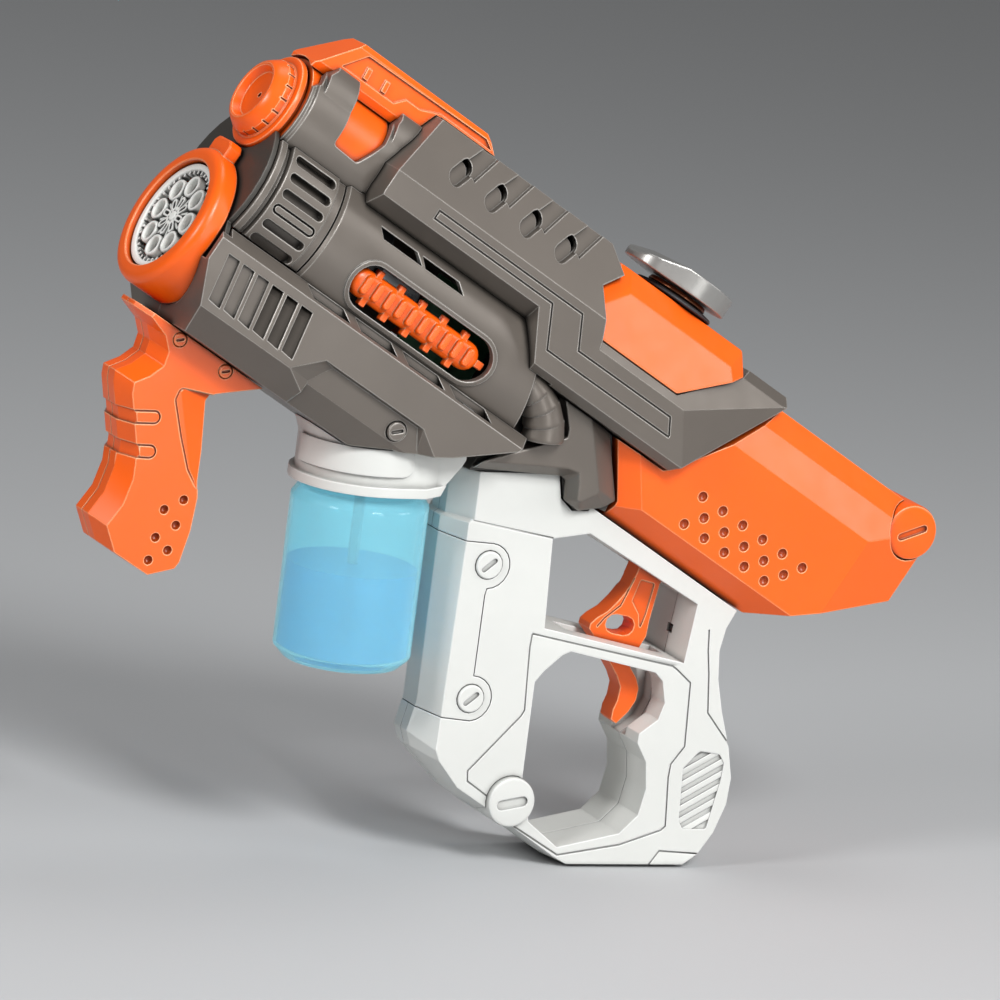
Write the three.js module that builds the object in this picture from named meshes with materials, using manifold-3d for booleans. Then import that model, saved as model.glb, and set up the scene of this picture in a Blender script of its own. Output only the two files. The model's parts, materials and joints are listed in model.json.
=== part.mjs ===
// Toy bubble blaster: a barrel that points up and forward over an upright grip frame,
// with a soap bottle hanging from a collar in front of the grip.
//
// Frames.  The upright frame is the object's own: x to the rear, z up, y to the right.
// The barrel frame is the upright frame turned nose-up: s to the rear along the barrel,
// t square to it and up.  In both frames w is the distance from the middle plane towards
// the left side, so y = -w.
import * as THREE from 'three';
import { mergeVertices } from 'three/addons/utils/BufferGeometryUtils.js';
import Module from 'manifold-3d';

const wasm = await Module();
wasm.setup();

// ---------------------------------------------------------------- driving dimensions (mm)
const barrelPitch = 30;        // degrees, nose-up
const gap = 0.3;               // clearance between neighbouring pieces
const seam = 0.15;             // half of the clearance at the middle plane
const wall = 2.2;              // moulded wall

const barrelAxisT = 33;        // barrel and front shroud
const barrelRadius = 27.5;
const shroudRadius = 26;
const shroudFront = -146;
const shroudRear = -118.3;
const barrelRear = -23;

const muzzleAxisT = 13.8;      // bubble wand and its bezel
const bezelRadius = 24.8;
const bezelBore = 19.4;
const bezelNeck = 21;
const bezelSkirtRear = -141.6;
const bulkheadFoot = 8;
const bezelFront = -156.3;

const capAxisT = 60.6;         // upper tube, its sleeve and the front cap
const sleeveRadius = 20;
const sleeveWall = 1.8;
const sleeveRear = -113;       // where the round barrel starts below it
const sleeveBack = -100;       // under the long armour
const bridgeHalfWidth = 9.2;   // orange fairing on top of the sleeve
const capFlangeRadius = 16.5;

const bodyHalfWidth = 30;      // flat sides of the armour
const bodyBottomT = -14.5;
const podFloorZ = 21.4;        // level underside over the bottle collar, upright frame

const stockHalfWidth = 22;
const stockEndHalfWidth = 14.5;
const stockPin = [125.8, 68.5];
const stockPinRadius = 9.3;

const gripHalfWidth = 15;
const gripTop = 12.6;
const gripFoot = -118.75;
const gripPin = [9.8, -96.5];
const gripPinRadius = 8.3;

const bottleX = -49.6;
const bottleRadius = 22.4;
const bottleTop = 4.4;
const bottleBottom = -54;
const neckRadius = 15;
const neckTop = 15;
const collarBottom = 5.2;
const collarTop = 21;

const foregripHalfWidth = 12;
const foregripScrewS = [-133.2, -113.8];
const foregripScrewT = -17.2;
const podScrewAt = [-59.6, -2.3];
const triggerPivot = [57.5, -20];
const triggerHalfWidth = 4.2;

// ---------------------------------------------------------------- materials
function plastic(colour, roughness, metalness = 0) {
  return new THREE.MeshStandardMaterial({ color: colour, roughness, metalness });
}
const orange = plastic(0xf2641a, 0.32);
const grey = plastic(0x6f6862, 0.42, 0.25);
const darkGrey = plastic(0x3a3835, 0.5);
const white = plastic(0xe9eae6, 0.35);
const clearBlue = plastic(0x78bfe8, 0.08);
const black = plastic(0x17181a, 0.45);
const steel = plastic(0xb9bcc0, 0.3, 1);
const copper = plastic(0xb8643a, 0.35, 0.8);
const silver = plastic(0x9d9c9a, 0.3, 0.5);
const boardGreen = plastic(0x1f6a3c, 0.5);
const softClear = plastic(0xdfe8ea, 0.25);

// ---------------------------------------------------------------- outlines
const onCircle = (cx, cy, r, degrees) => [
  cx + r * Math.cos(THREE.MathUtils.degToRad(degrees)),
  cy + r * Math.sin(THREE.MathUtils.degToRad(degrees)),
];

function arc(cx, cy, r, from, to, steps) {
  const step = (to - from) / steps;
  return Array.from({ length: steps + 1 }, (_, i) => onCircle(cx, cy, r, from + step * i));
}

// a full circle with a flat vertex count, so no point is repeated
function circle(cx, cy, r, steps = 24) {
  return arc(cx, cy, r, 0, 360, steps).slice(0, -1);
}

// a slot outline with round ends, its long way turned by an angle
function oblong(cx, cy, length, width, degrees, steps = 6) {
  const r = width / 2;
  const [dx, dy] = onCircle(0, 0, length / 2 - r, degrees);
  return [
    ...arc(cx + dx, cy + dy, r, degrees - 90, degrees + 90, steps),
    ...arc(cx - dx, cy - dy, r, degrees + 90, degrees + 270, steps),
  ];
}

const box = (x0, y0, x1, y1) => [[x0, y0], [x1, y0], [x1, y1], [x0, y1]];

function counterClockwise(points) {
  const area = points.reduce((sum, [x, y], i) => {
    const [nx, ny] = points[(i + 1) % points.length];
    return sum + x * ny - nx * y;
  }, 0);
  return area > 0 ? points : [...points].reverse();
}

// every side of an outline moved outwards by a distance (inwards when it is negative)
function grown(points, distance) {
  const ring = counterClockwise(points);
  return ring.map((point, i) => {
    const before = ring[(i + ring.length - 1) % ring.length];
    const after = ring[(i + 1) % ring.length];
    const a = new THREE.Vector2(point[0] - before[0], point[1] - before[1]).normalize();
    const b = new THREE.Vector2(after[0] - point[0], after[1] - point[1]).normalize();
    const normal = new THREE.Vector2(a.y + b.y, -a.x - b.x).normalize();
    const reach = distance / Math.max(0.35, normal.x * b.y - normal.y * b.x);
    return [point[0] + normal.x * reach, point[1] + normal.y * reach];
  });
}

// an upright-frame point given in the barrel frame
function inBarrel([x, z]) {
  const a = THREE.MathUtils.degToRad(barrelPitch);
  return [x * Math.cos(a) - z * Math.sin(a), x * Math.sin(a) + z * Math.cos(a)];
}

// the left half of a round wall's cross-section, kept off the middle plane
function halfRing(centreT, outer, thickness, steps = 18) {
  return [
    ...arc(0, centreT, outer, -89.6, 89.6, steps),
    ...arc(0, centreT, outer - thickness, 89.6, -89.6, steps),
  ].map(([w, t]) => [Math.max(w, seam), t]);
}

// ---------------------------------------------------------------- solids
function solidOf(geometry) {
  const bare = geometry.index ? geometry.toNonIndexed() : geometry.clone();
  bare.deleteAttribute('normal');
  bare.deleteAttribute('uv');
  const merged = mergeVertices(bare, 1e-4);
  const triangles = [];
  for (let i = 0; i < merged.index.count; i += 3) {
    const [a, b, c] = [0, 1, 2].map((k) => merged.index.getX(i + k));
    if (a !== b && b !== c && c !== a) triangles.push(a, b, c);
  }
  return new wasm.Manifold(new wasm.Mesh({
    numProp: 3,
    vertProperties: new Float32Array(merged.attributes.position.array),
    triVerts: new Uint32Array(triangles),
  }));
}

function extruded(points, depth) {
  const shape = new THREE.Shape(points.map(([a, b]) => new THREE.Vector2(a, b)));
  return new THREE.ExtrudeGeometry(shape, { depth, bevelEnabled: false });
}

// a side-view outline given thickness from w0 to w1
function plate(points, w0, w1) {
  return solidOf(extruded(points, w1 - w0).rotateX(Math.PI / 2).translate(0, -w0, 0));
}

// a cross-section of (w, t) points run along the barrel from s0 to s1
function bar(section, s0, s1) {
  const turn = new THREE.Matrix4().makeBasis(
    new THREE.Vector3(0, 1, 0), new THREE.Vector3(0, 0, 1), new THREE.Vector3(1, 0, 0));
  const mirrored = section.map(([w, t]) => [-w, t]);
  return solidOf(extruded(mirrored, s1 - s0).applyMatrix4(turn).translate(s0, 0, 0));
}

// a plan-view outline of (x, w) points given height from z0 to z1
function slab(points, z0, z1) {
  const mirrored = points.map(([x, w]) => [x, -w]);
  return solidOf(extruded(mirrored, z1 - z0).translate(0, 0, z0));
}

// a (radius, distance) profile turned about an axis that points 'rear', 'up' or 'left'
function turned(profile, axis, [x, w, z], steps = 24) {
  const lathe = new THREE.LatheGeometry(profile.map(([r, h]) => new THREE.Vector2(r, h)), steps);
  if (axis === 'rear') lathe.rotateZ(-Math.PI / 2);
  if (axis === 'up') lathe.rotateX(Math.PI / 2);
  if (axis === 'left') lathe.rotateX(Math.PI);
  return solidOf(lathe.translate(x, -w, z));
}

const rod = (radius, from, to, axis, at, steps = 16) => turned(
  [[0, from], [radius, from], [radius, to], [0, to]], axis, at, steps);

const tube = (outer, inner, from, to, axis, at, steps = 24) => turned(
  [[inner, from], [outer, from], [outer, to], [inner, to], [inner, from]], axis, at, steps);

// side-view outlines with equal point counts, at growing w, joined into one solid
function lofted(rings) {
  const count = rings[0].points.length;
  const vertices = rings.flatMap(({ w, points }) => points.map(([x, z]) => [x, -w, z]));
  const faces = [];
  for (let r = 0; r + 1 < rings.length; r += 1) {
    for (let k = 0; k < count; k += 1) {
      const next = (k + 1) % count;
      const [near, far] = [r * count, (r + 1) * count];
      const [a, b, c, d] = [near + k, near + next, far + next, far + k];
      faces.push([a, b, c], [a, c, d]);
    }
  }
  const cap = (points) => THREE.ShapeUtils.triangulateShape(
    points.map(([x, z]) => new THREE.Vector2(x, z)), []);
  const last = (rings.length - 1) * count;
  cap(rings[0].points).forEach(([a, b, c]) => faces.push([c, b, a]));
  cap(rings.at(-1).points).forEach(([a, b, c]) => faces.push([last + a, last + b, last + c]));
  const geometry = new THREE.BufferGeometry();
  geometry.setAttribute('position', new THREE.Float32BufferAttribute(vertices.flat(), 3));
  geometry.setIndex(faces.flat());
  return solidOf(geometry);
}

// everything on the far side of a plane through three points of (x, w, z);
// the plane's far side is the one that holds the fourth point
function beyond(first, second, third, inside) {
  const [a, b, c, d] = [first, second, third, inside].map(([x, w, z]) => new THREE.Vector3(x, -w, z));
  const normal = b.clone().sub(a).cross(c.clone().sub(a)).normalize();
  if (d.clone().sub(a).dot(normal) < 0) normal.negate();
  const size = 300;
  const block = new THREE.BoxGeometry(size, size, size).translate(0, 0, size / 2);
  block.applyQuaternion(new THREE.Quaternion().setFromUnitVectors(new THREE.Vector3(0, 0, 1), normal));
  return solidOf(block.translate(a.x, a.y, a.z));
}

const joined = (...solids) => solids.reduce((all, one) => all.add(one));
const cut = (solid, ...tools) => tools.reduce((left, tool) => left.subtract(tool), solid);

// ---------------------------------------------------------------- assembly
const machine = new THREE.Group();
const barrel = new THREE.Group();
const upright = new THREE.Group();
barrel.rotation.y = THREE.MathUtils.degToRad(barrelPitch);
machine.add(barrel, upright);

function addPiece(group, name, solid, material, mirror = false) {
  const { vertProperties, triVerts } = solid.getMesh();
  const geometry = new THREE.BufferGeometry();
  const positions = new Float32Array(vertProperties);
  const triangles = new Uint32Array(triVerts);
  if (mirror) {
    for (let i = 1; i < positions.length; i += 3) positions[i] = -positions[i];
    for (let i = 0; i < triangles.length; i += 3) {
      [triangles[i], triangles[i + 1]] = [triangles[i + 1], triangles[i]];
    }
  }
  geometry.setAttribute('position', new THREE.BufferAttribute(positions, 3));
  geometry.setIndex(new THREE.BufferAttribute(triangles, 1));
  const mesh = new THREE.Mesh(geometry, material.clone());
  mesh.name = name;
  group.add(mesh);
}

function addPair(group, name, solid, material) {
  addPiece(group, `${name}_left`, solid, material);
  addPiece(group, `${name}_right`, solid, material, true);
}

// ---------------------------------------------------------------- barrel armour
const roundBody = (extra, rear) => rod(barrelRadius + extra, -170, rear, 'rear', [0, 0, barrelAxisT], 40);

// slanted vents along the top edge of the lower armour
const lowerVents = (from) => [0, 1, 2, 3].map((i) => {
  const s = -113.7 + 20.55 * i;
  return plate([[s, 19.6], [s + 15.4, 19.6], [s + 18.4, 16.9], [s + 2.7, 16.9]], from, 40);
});

// flat-sided lower armour; its top edge slopes in to the round barrel
const lowerSection = (g) => grown([
  [-20, bodyBottomT], [22, bodyBottomT], [bodyHalfWidth, -5.4], [bodyHalfWidth, 16], [24, 20.4],
  [-20, 20.4],
], g);
const lowerSide = (g) => grown([
  [-149.6, 20.4], [-149.6, 7.9], [-142.9, -5.4], [-138.5, bodyBottomT],
  inBarrel([-66, podFloorZ]), inBarrel([-40.5, podFloorZ - 1.2]), inBarrel([-33.5, podFloorZ - 1.2]),
  [-20.5, 14.5], [-17.5, 20.4],
], g);

// what the neighbours of the lower armour leave free for it
const lowerArmourRoom = () => bar(lowerSection(gap), -152, -10)
  .intersect(plate(lowerSide(gap), -1, 40));

// what lies outside the pod's two panels: an upper one that leans, and a lower one like the chamfer
function podOutside(w) {
  const fold = [-6.2, 26.4 + w];
  const facets = [[3.1, 27.8 + w], [bodyBottomT, 20.6 + w]].map(([t, reach]) => beyond(
    [-110, fold[1], fold[0]], [-40, fold[1], fold[0]], [-40, reach, t], [-70, 60, -6]));
  return joined(...facets);
}

function lowerArmour() {
  const outside = bar(lowerSection(0), -152, -15).intersect(plate(lowerSide(0), seam, 40));
  const podMouth = [
    [-104.6, -20], [-104.6, -5.1], [-95.7, 3.1], [-53.3, 3.1], [-41.5, -4], [-38, -20],
  ];
  const podFloor = [[-95, -20], [-95, -5.4], [-88, 2.2], [-55, 2.2], [-49, -4.4], [-46, -20]];
  const pod = lofted([
    { w: 15, points: podFloor }, { w: 26.4, points: podFloor }, { w: bodyHalfWidth, points: podMouth },
    { w: 36, points: podMouth },
  ].map(({ w, points }) => ({ w, points: counterClockwise(points) }))).intersect(podOutside(0));
  const podBacking = plate(grown(podMouth, wall), 10, 40).intersect(podOutside(-wall));
  const hollow = bar(lowerSection(-wall), -152, -15).intersect(plate(lowerSide(-wall), -1, 40));
  const inside = cut(hollow, podBacking);
  const openRear = bar(box(-1, 2, 20, 17), -30, -10);
  const bezelRoom = joined(
    rod(bezelRadius + gap, -160, bezelSkirtRear + gap, 'rear', [0, 0, muzzleAxisT], 32),
    bar(box(-1, bulkheadFoot - gap, bodyHalfWidth - wall, 24), -152, -145.9),
  );
  let solid = cut(outside, inside, roundBody(gap, 60), pod, openRear, bezelRoom);
  const recessCount = 6;
  const recessPitch = 6.2;
  for (let i = 0; i < recessCount; i += 1) {
    const s = -144.6 + recessPitch * i;
    solid = cut(solid, plate([[s, 12.8], [s + 2.9, -2.4], [s + 7.8, -2.9], [s + 4.6, 12.8]], 28.9, 40));
  }
  solid = cut(solid, ...lowerVents(24.6));
  const collarRoom = slab(circle(bottleX, 0, 25.5, 40), 0, collarTop + gap);
  const webPlan = [
    [bottleX, -25.5], [-37, -25.5], [-22, -16], [-22, 16], [-37, 25.5], [bottleX, 25.5],
  ];
  const webRoom = slab(webPlan, 0, collarTop + gap);
  const turnIntoBarrel = (s) => s.rotate([0, -barrelPitch, 0]);
  const screwRoom = rod(3.6, 25.9, 31, 'left', [podScrewAt[0], 0, podScrewAt[1]], 14);
  return cut(solid, turnIntoBarrel(joined(collarRoom, webRoom)), screwRoom);
}

// long armour over the barrel: a leaning front part, and a lower part that wraps the orange panel
const railFrontSection = (g) => grown([
  [-20, 50], [20.5, 50.9], [bodyHalfWidth, 56.1], [bodyHalfWidth, 65.2], [13, 87.4], [-20, 87.4],
], g);
const railRearSection = (g) => grown([
  [-20, 37.8], [26.5, 37.8], [bodyHalfWidth, 40.6], [bodyHalfWidth, 56.2], [16.5, 77], [12, 80.4],
  [-20, 80.4],
], g);
const railFrontSide = (g) => grown([
  [-110.5, 50], [-112, 57.3], [-112, 65.2], [-100.4, 87.4], [-25.2, 87.4], [-17.8, 81], [-25.2, 74],
  [-17.6, 58.9], [-15, 50],
], g);
const railRearSide = (g) => grown([
  [-43.8, 56.1], [-33.8, 40.7], [-32.2, 37.8], [30.5, 37.8], [32.5, 41], [60.5, 77.5], [60.2, 80.4],
  [43.2, 80.4], [40.3, 77], [16.9, 58.9], [-18, 58.9], [-24, 68],
], g);
const railRearPlane = () => beyond(
  [21, bodyHalfWidth, 56.2], [32.2, bodyHalfWidth, 41], [60.5, 16, 77.5], [60, 40, 50]);

// all that lies less than a depth below the leaning face of the front part
const belowRailFace = (depth) => beyond(
  [0, bodyHalfWidth - depth, 65.2], [10, bodyHalfWidth - depth, 65.2], [0, 13 - depth, 87.4], [0, 40, 90]);

const railSlots = 4;
const firstRailSlot = -88.6;
const railSlotPitch = 15.45;
const railSlotLean = 54;         // degrees from the barrel line, in side view

function railArmour() {
  const front = bar(railFrontSection(0), -120, 0).intersect(plate(railFrontSide(0), seam, 40));
  const rear = bar(railRearSection(0), -50, 70).intersect(plate(railRearSide(0), seam, 40));
  const frontHollow = bar([[-1, 40], [17, 52], [26.5, 58.5], [26.5, 64], [10.6, 85], [-1, 85]], -120, 0)
    .intersect(plate([
      [-108, 40], [-109, 58], [-109, 64.6], [-99, 85], [-27.6, 85], [-23.4, 81], [-29, 74], [-22, 60],
      [-22, 40],
    ], -1, 40));
  const rearRoom = [[-1, 41], [26.8, 41], [26.8, 55], [13.6, 75], [10.6, 77.6], [-1, 77.6]];
  const rearHollow = bar(rearRoom, -50, 70)
    .intersect(plate([[-40, 55.4], [-31, 41], [28, 41], [53.5, 77.6], [45, 77.6], [20, 55.4]], -1, 40));
  const rearTaper = beyond(
    [17, bodyHalfWidth, 56.2], [28, bodyHalfWidth, 41], [56, 16, 77.5], [60, 40, 50]);
  const shell = cut(joined(front, rear), railRearPlane());
  let solid = cut(shell, frontHollow, cut(rearHollow, rearTaper), roundBody(gap, barrelRear + gap));
  for (let i = 0; i < railSlots; i += 1) {
    const s = firstRailSlot + railSlotPitch * i;
    const slot = plate(oblong(s, 76.6, 11.6, 5.6, railSlotLean), 8, 40);
    const channel = plate([[s + 0.1, 80], [s + 5.6, 76.4], [s + 13.6, 88.5], [s + 6.9, 88.5]], 8, 40);
    solid = cut(solid, slot.intersect(belowRailFace(2.9)), channel.intersect(belowRailFace(1.8)));
  }
  return solid;
}

// orange receiver panel let into the rear of the long armour
const panelSection = (g) => grown([
  [-20, 59.2], [28.4, 59.2], [19.6, 77.3], [12.6, 84.2], [-20, 84.2],
], g);
const panelSide = (g) => grown([
  [-17.4, 59.3], [16.6, 59.3], [40.2, 77], [36.5, 84.2], [-17.9, 84.2], [-17.3, 81], [-24.6, 74],
], g);

function receiverPanel() {
  const solid = (g, w0) => bar(panelSection(g), -40, 50).intersect(plate(panelSide(g), w0, 40));
  const seat = rod(9.6, 80, 90, 'up', [knobS, 0, 0], 32);
  return cut(solid(0, seam), solid(-wall, -1), seat);
}

// mode knob on top of the receiver
const knobS = 11.6;
const knobSeatTop = 86.6;

function knobSeat() {
  return turned([
    [0, 82.5], [9.2, 82.5], [9.2, 84.6], [13.8, 84.6], [14.2, 85.3], [13.8, 86], [11, knobSeatTop],
    [0, knobSeatTop],
  ], 'up', [knobS, 0, 0], 24);
}
const knobNeck = () => turned([
  [0, knobSeatTop + gap], [10.8, knobSeatTop + gap], [10.2, 88.6], [0, 88.6],
], 'up', [knobS, 0, 0], 24);

// a disc that is deep at the rear and runs out to a thin lip in front
function knobCap() {
  const plan = [...arc(knobS + 1, 0, 15.8, -112, 112, 20), ...arc(knobS - 11, 0, 12, 118, 242, 12)];
  const side = [
    [knobS - 22.6, 88.9], [knobS + 16.8, 88.9], [knobS + 16.8, 93.6], [knobS + 13.5, 95.4],
    [knobS - 8, 95.8], [knobS - 20.5, 92.4], [knobS - 23, 90.6],
  ];
  return slab(plan, 88, 99).intersect(plate(side, -20, 20));
}

// ---------------------------------------------------------------- round barrel parts
function barrelShell() {
  const window = plate(oblong(-73.6, 29.9, 58.5, 15.2, 0, 6), 15, 30);
  let solid = bar(halfRing(barrelAxisT, barrelRadius, wall), shroudRear + gap, barrelRear);
  const rearCut = plate([[-30.2, 62], [-30.2, 41], [-23.6, 20], [-46, 2], [-10, 2], [-10, 62]], -1, 40);
  const sleeveRoom = rod(sleeveRadius + gap, -160, sleeveRear + gap, 'rear', [0, 0, capAxisT], 28);
  solid = cut(solid, window, rearCut, sleeveRoom, ...lowerVents(15));
  for (let i = 0; i < 2; i += 1) {
    const s = -102.6 + 18.1 * i;
    solid = cut(solid, plate([[s, 47.9], [s + 15.8, 47.9], [s + 19, 45], [s + 2.4, 45]], 15, 30));
  }
  return solid;
}

// ribbed orange core seen in the barrel's oval window
function ribbedCore() {
  let solid = plate(oblong(-75, 30, 54.5, 9.6, 0, 6), 22.6, 25.6);
  solid = joined(solid, plate(oblong(-75, 30, 57.6, 2.4, 0, 2), 22.6, 24.4));
  for (let i = 0; i < 10; i += 1) {
    solid = joined(solid, plate(box(-98.4 + 4.9 * i, 26.6, -95.6 + 4.9 * i, 33.4), 25, 27.4));
  }
  for (let i = 0; i < 5; i += 1) {
    const s = -94.4 + 9.4 * i;
    solid = joined(solid, plate(box(s - 1.1, 23.5, s + 1.1, 36.5), 22.6, 24.4));
  }
  return solid;
}

function frontShroud() {
  const sleeve = halfRing(barrelAxisT, shroudRadius, wall);
  const collar = halfRing(barrelAxisT, shroudRadius + 1, 2);
  let solid = joined(bar(sleeve, shroudFront, shroudRear), bar(collar, -141, -121.8));
  const slotCount = 6;
  const blindSlot = 3;
  for (let i = 0; i < slotCount; i += 1) {
    const floor = i === blindSlot ? shroudRadius + 0.1 : 12;
    solid = cut(solid, plate(oblong(-131.1, 49.2 - 5.45 * i, 16.6, 2.8, 0, 3), floor, 30));
  }
  const sleeveRoom = rod(sleeveRadius + gap, -160, -100, 'rear', [0, 0, capAxisT], 28);
  return cut(solid, sleeveRoom, lowerArmourRoom());
}

// thick lobes that stand up before and behind the sleeve's side opening
function sleeveLobes() {
  const section = [
    ...[[20, 32], [21.2, 44], [22.6, 55], [23.4, 64.5]].map(([r, a]) => onCircle(0, capAxisT, r, a)),
    [bridgeHalfWidth + gap, 81.6], [bridgeHalfWidth + gap, 76.2],
    onCircle(0, capAxisT, 18.4, 44), onCircle(0, capAxisT, 18.4, 32),
  ];
  const nose = plate([
    [-142, 60], [-142, 78], [-139.6, 80.4], [-136.4, 90], [-120, 90], [-120, 60],
  ], 5, 30);
  return joined(bar(section, -142, -120).intersect(nose), bar(section, sleeveRear, sleeveBack));
}

// sleeve round the upper tube, open at the side, running back to the long armour
function capSleeve() {
  const section = halfRing(capAxisT, sleeveRadius, sleeveWall, 14);
  const barrelRoom = rod(barrelRadius + gap, sleeveRear, -90, 'rear', [0, 0, barrelAxisT], 40);
  const behind = cut(bar(section, sleeveRear - 1, sleeveBack), barrelRoom);
  const bridgeRoom = bar(box(-1, 70, bridgeHalfWidth + gap, 90), -160, -90);
  const frontSlope = plate([
    [-150, 70.5], [-146, 71.5], [-143.6, 73.5], [-142, 78], [-142, 90], [-150, 90],
  ], -1, 30);
  const round = cut(joined(bar(section, shroudFront, sleeveRear), behind), bridgeRoom, frontSlope);
  const opening = plate([
    [-131, 60.2], [-120.6, 59.6], [-114.8, 69.6], [-113.4, 76.6], [-112, 80], [-112, 90], [-131, 90],
    [-130.4, 76], [-130.6, 67],
  ], -1, 30);
  return cut(joined(round, sleeveLobes()), opening, railRoom());
}

const innerTubeRadius = sleeveRadius - sleeveWall - gap;
const innerTube = () => tube(innerTubeRadius, 15.8, -145.7, -113.6, 'rear', [0, 0, capAxisT], 28);

const railRoom = () => bar(railFrontSection(gap), -120, 0).intersect(plate(railFrontSide(gap), -1, 40));

// orange fairing along the top: it sits on the upper tube and runs back over the long armour
function topBridge() {
  const section = [
    [-7.4, 76], [-bridgeHalfWidth, 79.8], [-6.6, 91], [-5, 92.8], [5, 92.8], [6.6, 91],
    [bridgeHalfWidth, 79.8], [7.4, 76],
  ];
  const side = [
    [-147.4, 76], [-147, 78.8], [-133.9, 92.8], [-80.3, 92.8], [-75, 88], [-98.6, 88], [-103, 82],
    [-112.4, 79], [-113, 76],
  ];
  const recess = [
    [-138.2, 82.6], [-131.3, 90.2], [-80.5, 91], [-77.2, 88.9], [-99, 88.9], [-106.5, 86], [-112.4, 86],
    [-116, 82.6],
  ];
  let solid = bar(section, -150, -70).intersect(plate(side, -20, 20));
  const sideFacet = (inset) => beyond(
    [-140, bridgeHalfWidth - inset, 79.8], [-90, bridgeHalfWidth - inset, 79.8],
    [-90, 6.6 - inset, 91], [-110, 40, 85]);
  const pocket = plate(recess, 0, 40).intersect(sideFacet(0.9));
  const ribs = [-129.6, -121.9].map((s) => plate(box(s, 83.4, s + 1.9, 87.2), 5, 9));
  const raised = cut(joined(...ribs), sideFacet(0.2));
  solid = joined(cut(solid, pocket, pocket.mirror([0, 1, 0])), raised, raised.mirror([0, 1, 0]));
  const tubeRoom = rod(innerTubeRadius + gap, -160, -100, 'rear', [0, 0, capAxisT], 28);
  const flangeRoom = rod(capFlangeRadius + gap, -160, -146, 'rear', [0, 0, capAxisT], 28);
  return cut(solid, tubeRoom, flangeRoom, railRoom(), railRoom().mirror([0, 1, 0]));
}

function frontCap() {
  const profile = [
    [0, -152.6], [8.2, -152.6], [9.1, -155.6], [10.2, -155.6], [11.4, -154.4], [12.9, -152.6],
    [13.2, -149.4], [15.2, -149.2], [capFlangeRadius, -148.4], [capFlangeRadius, -146.9],
    [14.8, -146.3], [14.8, -140], [0, -140],
  ];
  return turned(profile, 'rear', [0, 0, capAxisT], 28);
}

// ---------------------------------------------------------------- muzzle and its drive
function muzzleBezel() {
  const profile = [
    [bezelBore, bezelFront], [22.9, bezelFront], [24.4, -155.2], [bezelRadius, -154], [bezelRadius, -149],
    [bezelNeck, -148.6], [bezelNeck, -145.6], [bezelBore, -145.6], [bezelBore, bezelFront],
  ];
  const ring = turned(profile, 'rear', [0, 0, muzzleAxisT], 32);
  const tab = cut(
    bar([[-6.4, 34], [6.4, 34], [6.4, 41.6], [4.6, 43.4], [-4.6, 43.4], [-6.4, 41.6]], -153.8, -148.9),
    rod(bezelRadius - 1, -160, -140, 'rear', [0, 0, muzzleAxisT], 32),
    rod(capFlangeRadius + gap, -160, -140, 'rear', [0, 0, capAxisT], 28),
  );
  const skirt = tube(bezelRadius, bezelNeck - 0.5, -149.5, bezelSkirtRear, 'rear', [0, 0, muzzleAxisT], 32)
    .intersect(bar(box(-30, -30, 30, bulkheadFoot - gap), -160, -130));
  return joined(ring, tab, skirt);
}

// dark bulkhead behind the bezel and the cap
function frontBulkhead() {
  const rim = rod(shroudRadius - 0.4, -148, -146.3, 'rear', [0, 0, barrelAxisT], 32);
  const shoulderSection = [
    [-22, 22], [-27.4, 16], [-27.4, bulkheadFoot], [27.4, bulkheadFoot], [27.4, 16], [22, 22],
  ];
  const shoulders = bar(shoulderSection, -148, -146.3);
  return cut(
    joined(rim, shoulders).intersect(bar(box(-40, bulkheadFoot, 40, 80), -150, -140)),
    rod(capFlangeRadius + gap, -160, -140, 'rear', [0, 0, capAxisT], 28),
    rod(bezelNeck + gap, -160, -140, 'rear', [0, 0, muzzleAxisT], 32),
  );
}

const loopCount = 8;
const loopPitchRadius = 11;

// bubble wand: a toothed rim, a ring of open loops and a flower-shaped hub
function bubbleWand() {
  const front = -153.6;
  const at = [0, 0, muzzleAxisT];
  let solid = joined(
    tube(18.9, 15.6, front - 0.8, front + 2.6, 'rear', at, 28),
    rod(3, front - 0.6, front + 2.6, 'rear', at, 16),
  );
  const innerSpoke = bar(box(0, -0.8, loopPitchRadius - 3, 0.8), front, front + 2);
  const outerSpoke = bar(box(loopPitchRadius + 3.4, -0.8, 16.4, 0.8), front, front + 2);
  for (let i = 0; i < loopCount; i += 1) {
    const angle = (360 / loopCount) * i;
    const [w, t] = onCircle(0, muzzleAxisT, loopPitchRadius, angle);
    const loop = tube(4, 2.5, front, front + 2.6, 'rear', [0, w, t], 10);
    const spokes = joined(innerSpoke, outerSpoke).rotate([-angle, 0, 0]);
    solid = joined(solid, loop, spokes.translate([0, 0, muzzleAxisT]));
  }
  return cut(solid, rod(1.6, front + 0.6, front + 5, 'rear', at, 16));
}

const gearModule = 1.2;
const gearFront = -141;
const gearRear = -137.4;
const wandTeeth = 24;
const pinionTeeth = 8;
const gearDistance = (gearModule * (wandTeeth + pinionTeeth)) / 2 + 0.25;

// a spur gear with straight-flanked teeth; a tooth points along the first axis at phase zero
function spurGear(teeth, phase, centreT, bore) {
  const pitchRadius = (gearModule * teeth) / 2;
  const outer = pitchRadius + 0.75 * gearModule;
  const root = pitchRadius - 1.1 * gearModule;
  const step = 360 / teeth;
  const points = [];
  for (let i = 0; i < teeth; i += 1) {
    const centre = phase + step * i;
    points.push(onCircle(0, 0, root, centre - 0.33 * step));
    points.push(onCircle(0, 0, outer, centre - 0.13 * step));
    points.push(onCircle(0, 0, outer, centre + 0.13 * step));
    points.push(onCircle(0, 0, root, centre + 0.33 * step));
  }
  const disc = bar(points.map(([w, t]) => [w, t + centreT]), gearFront, gearRear);
  return cut(disc, rod(bore, -160, -120, 'rear', [0, 0, centreT], 16));
}

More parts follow.
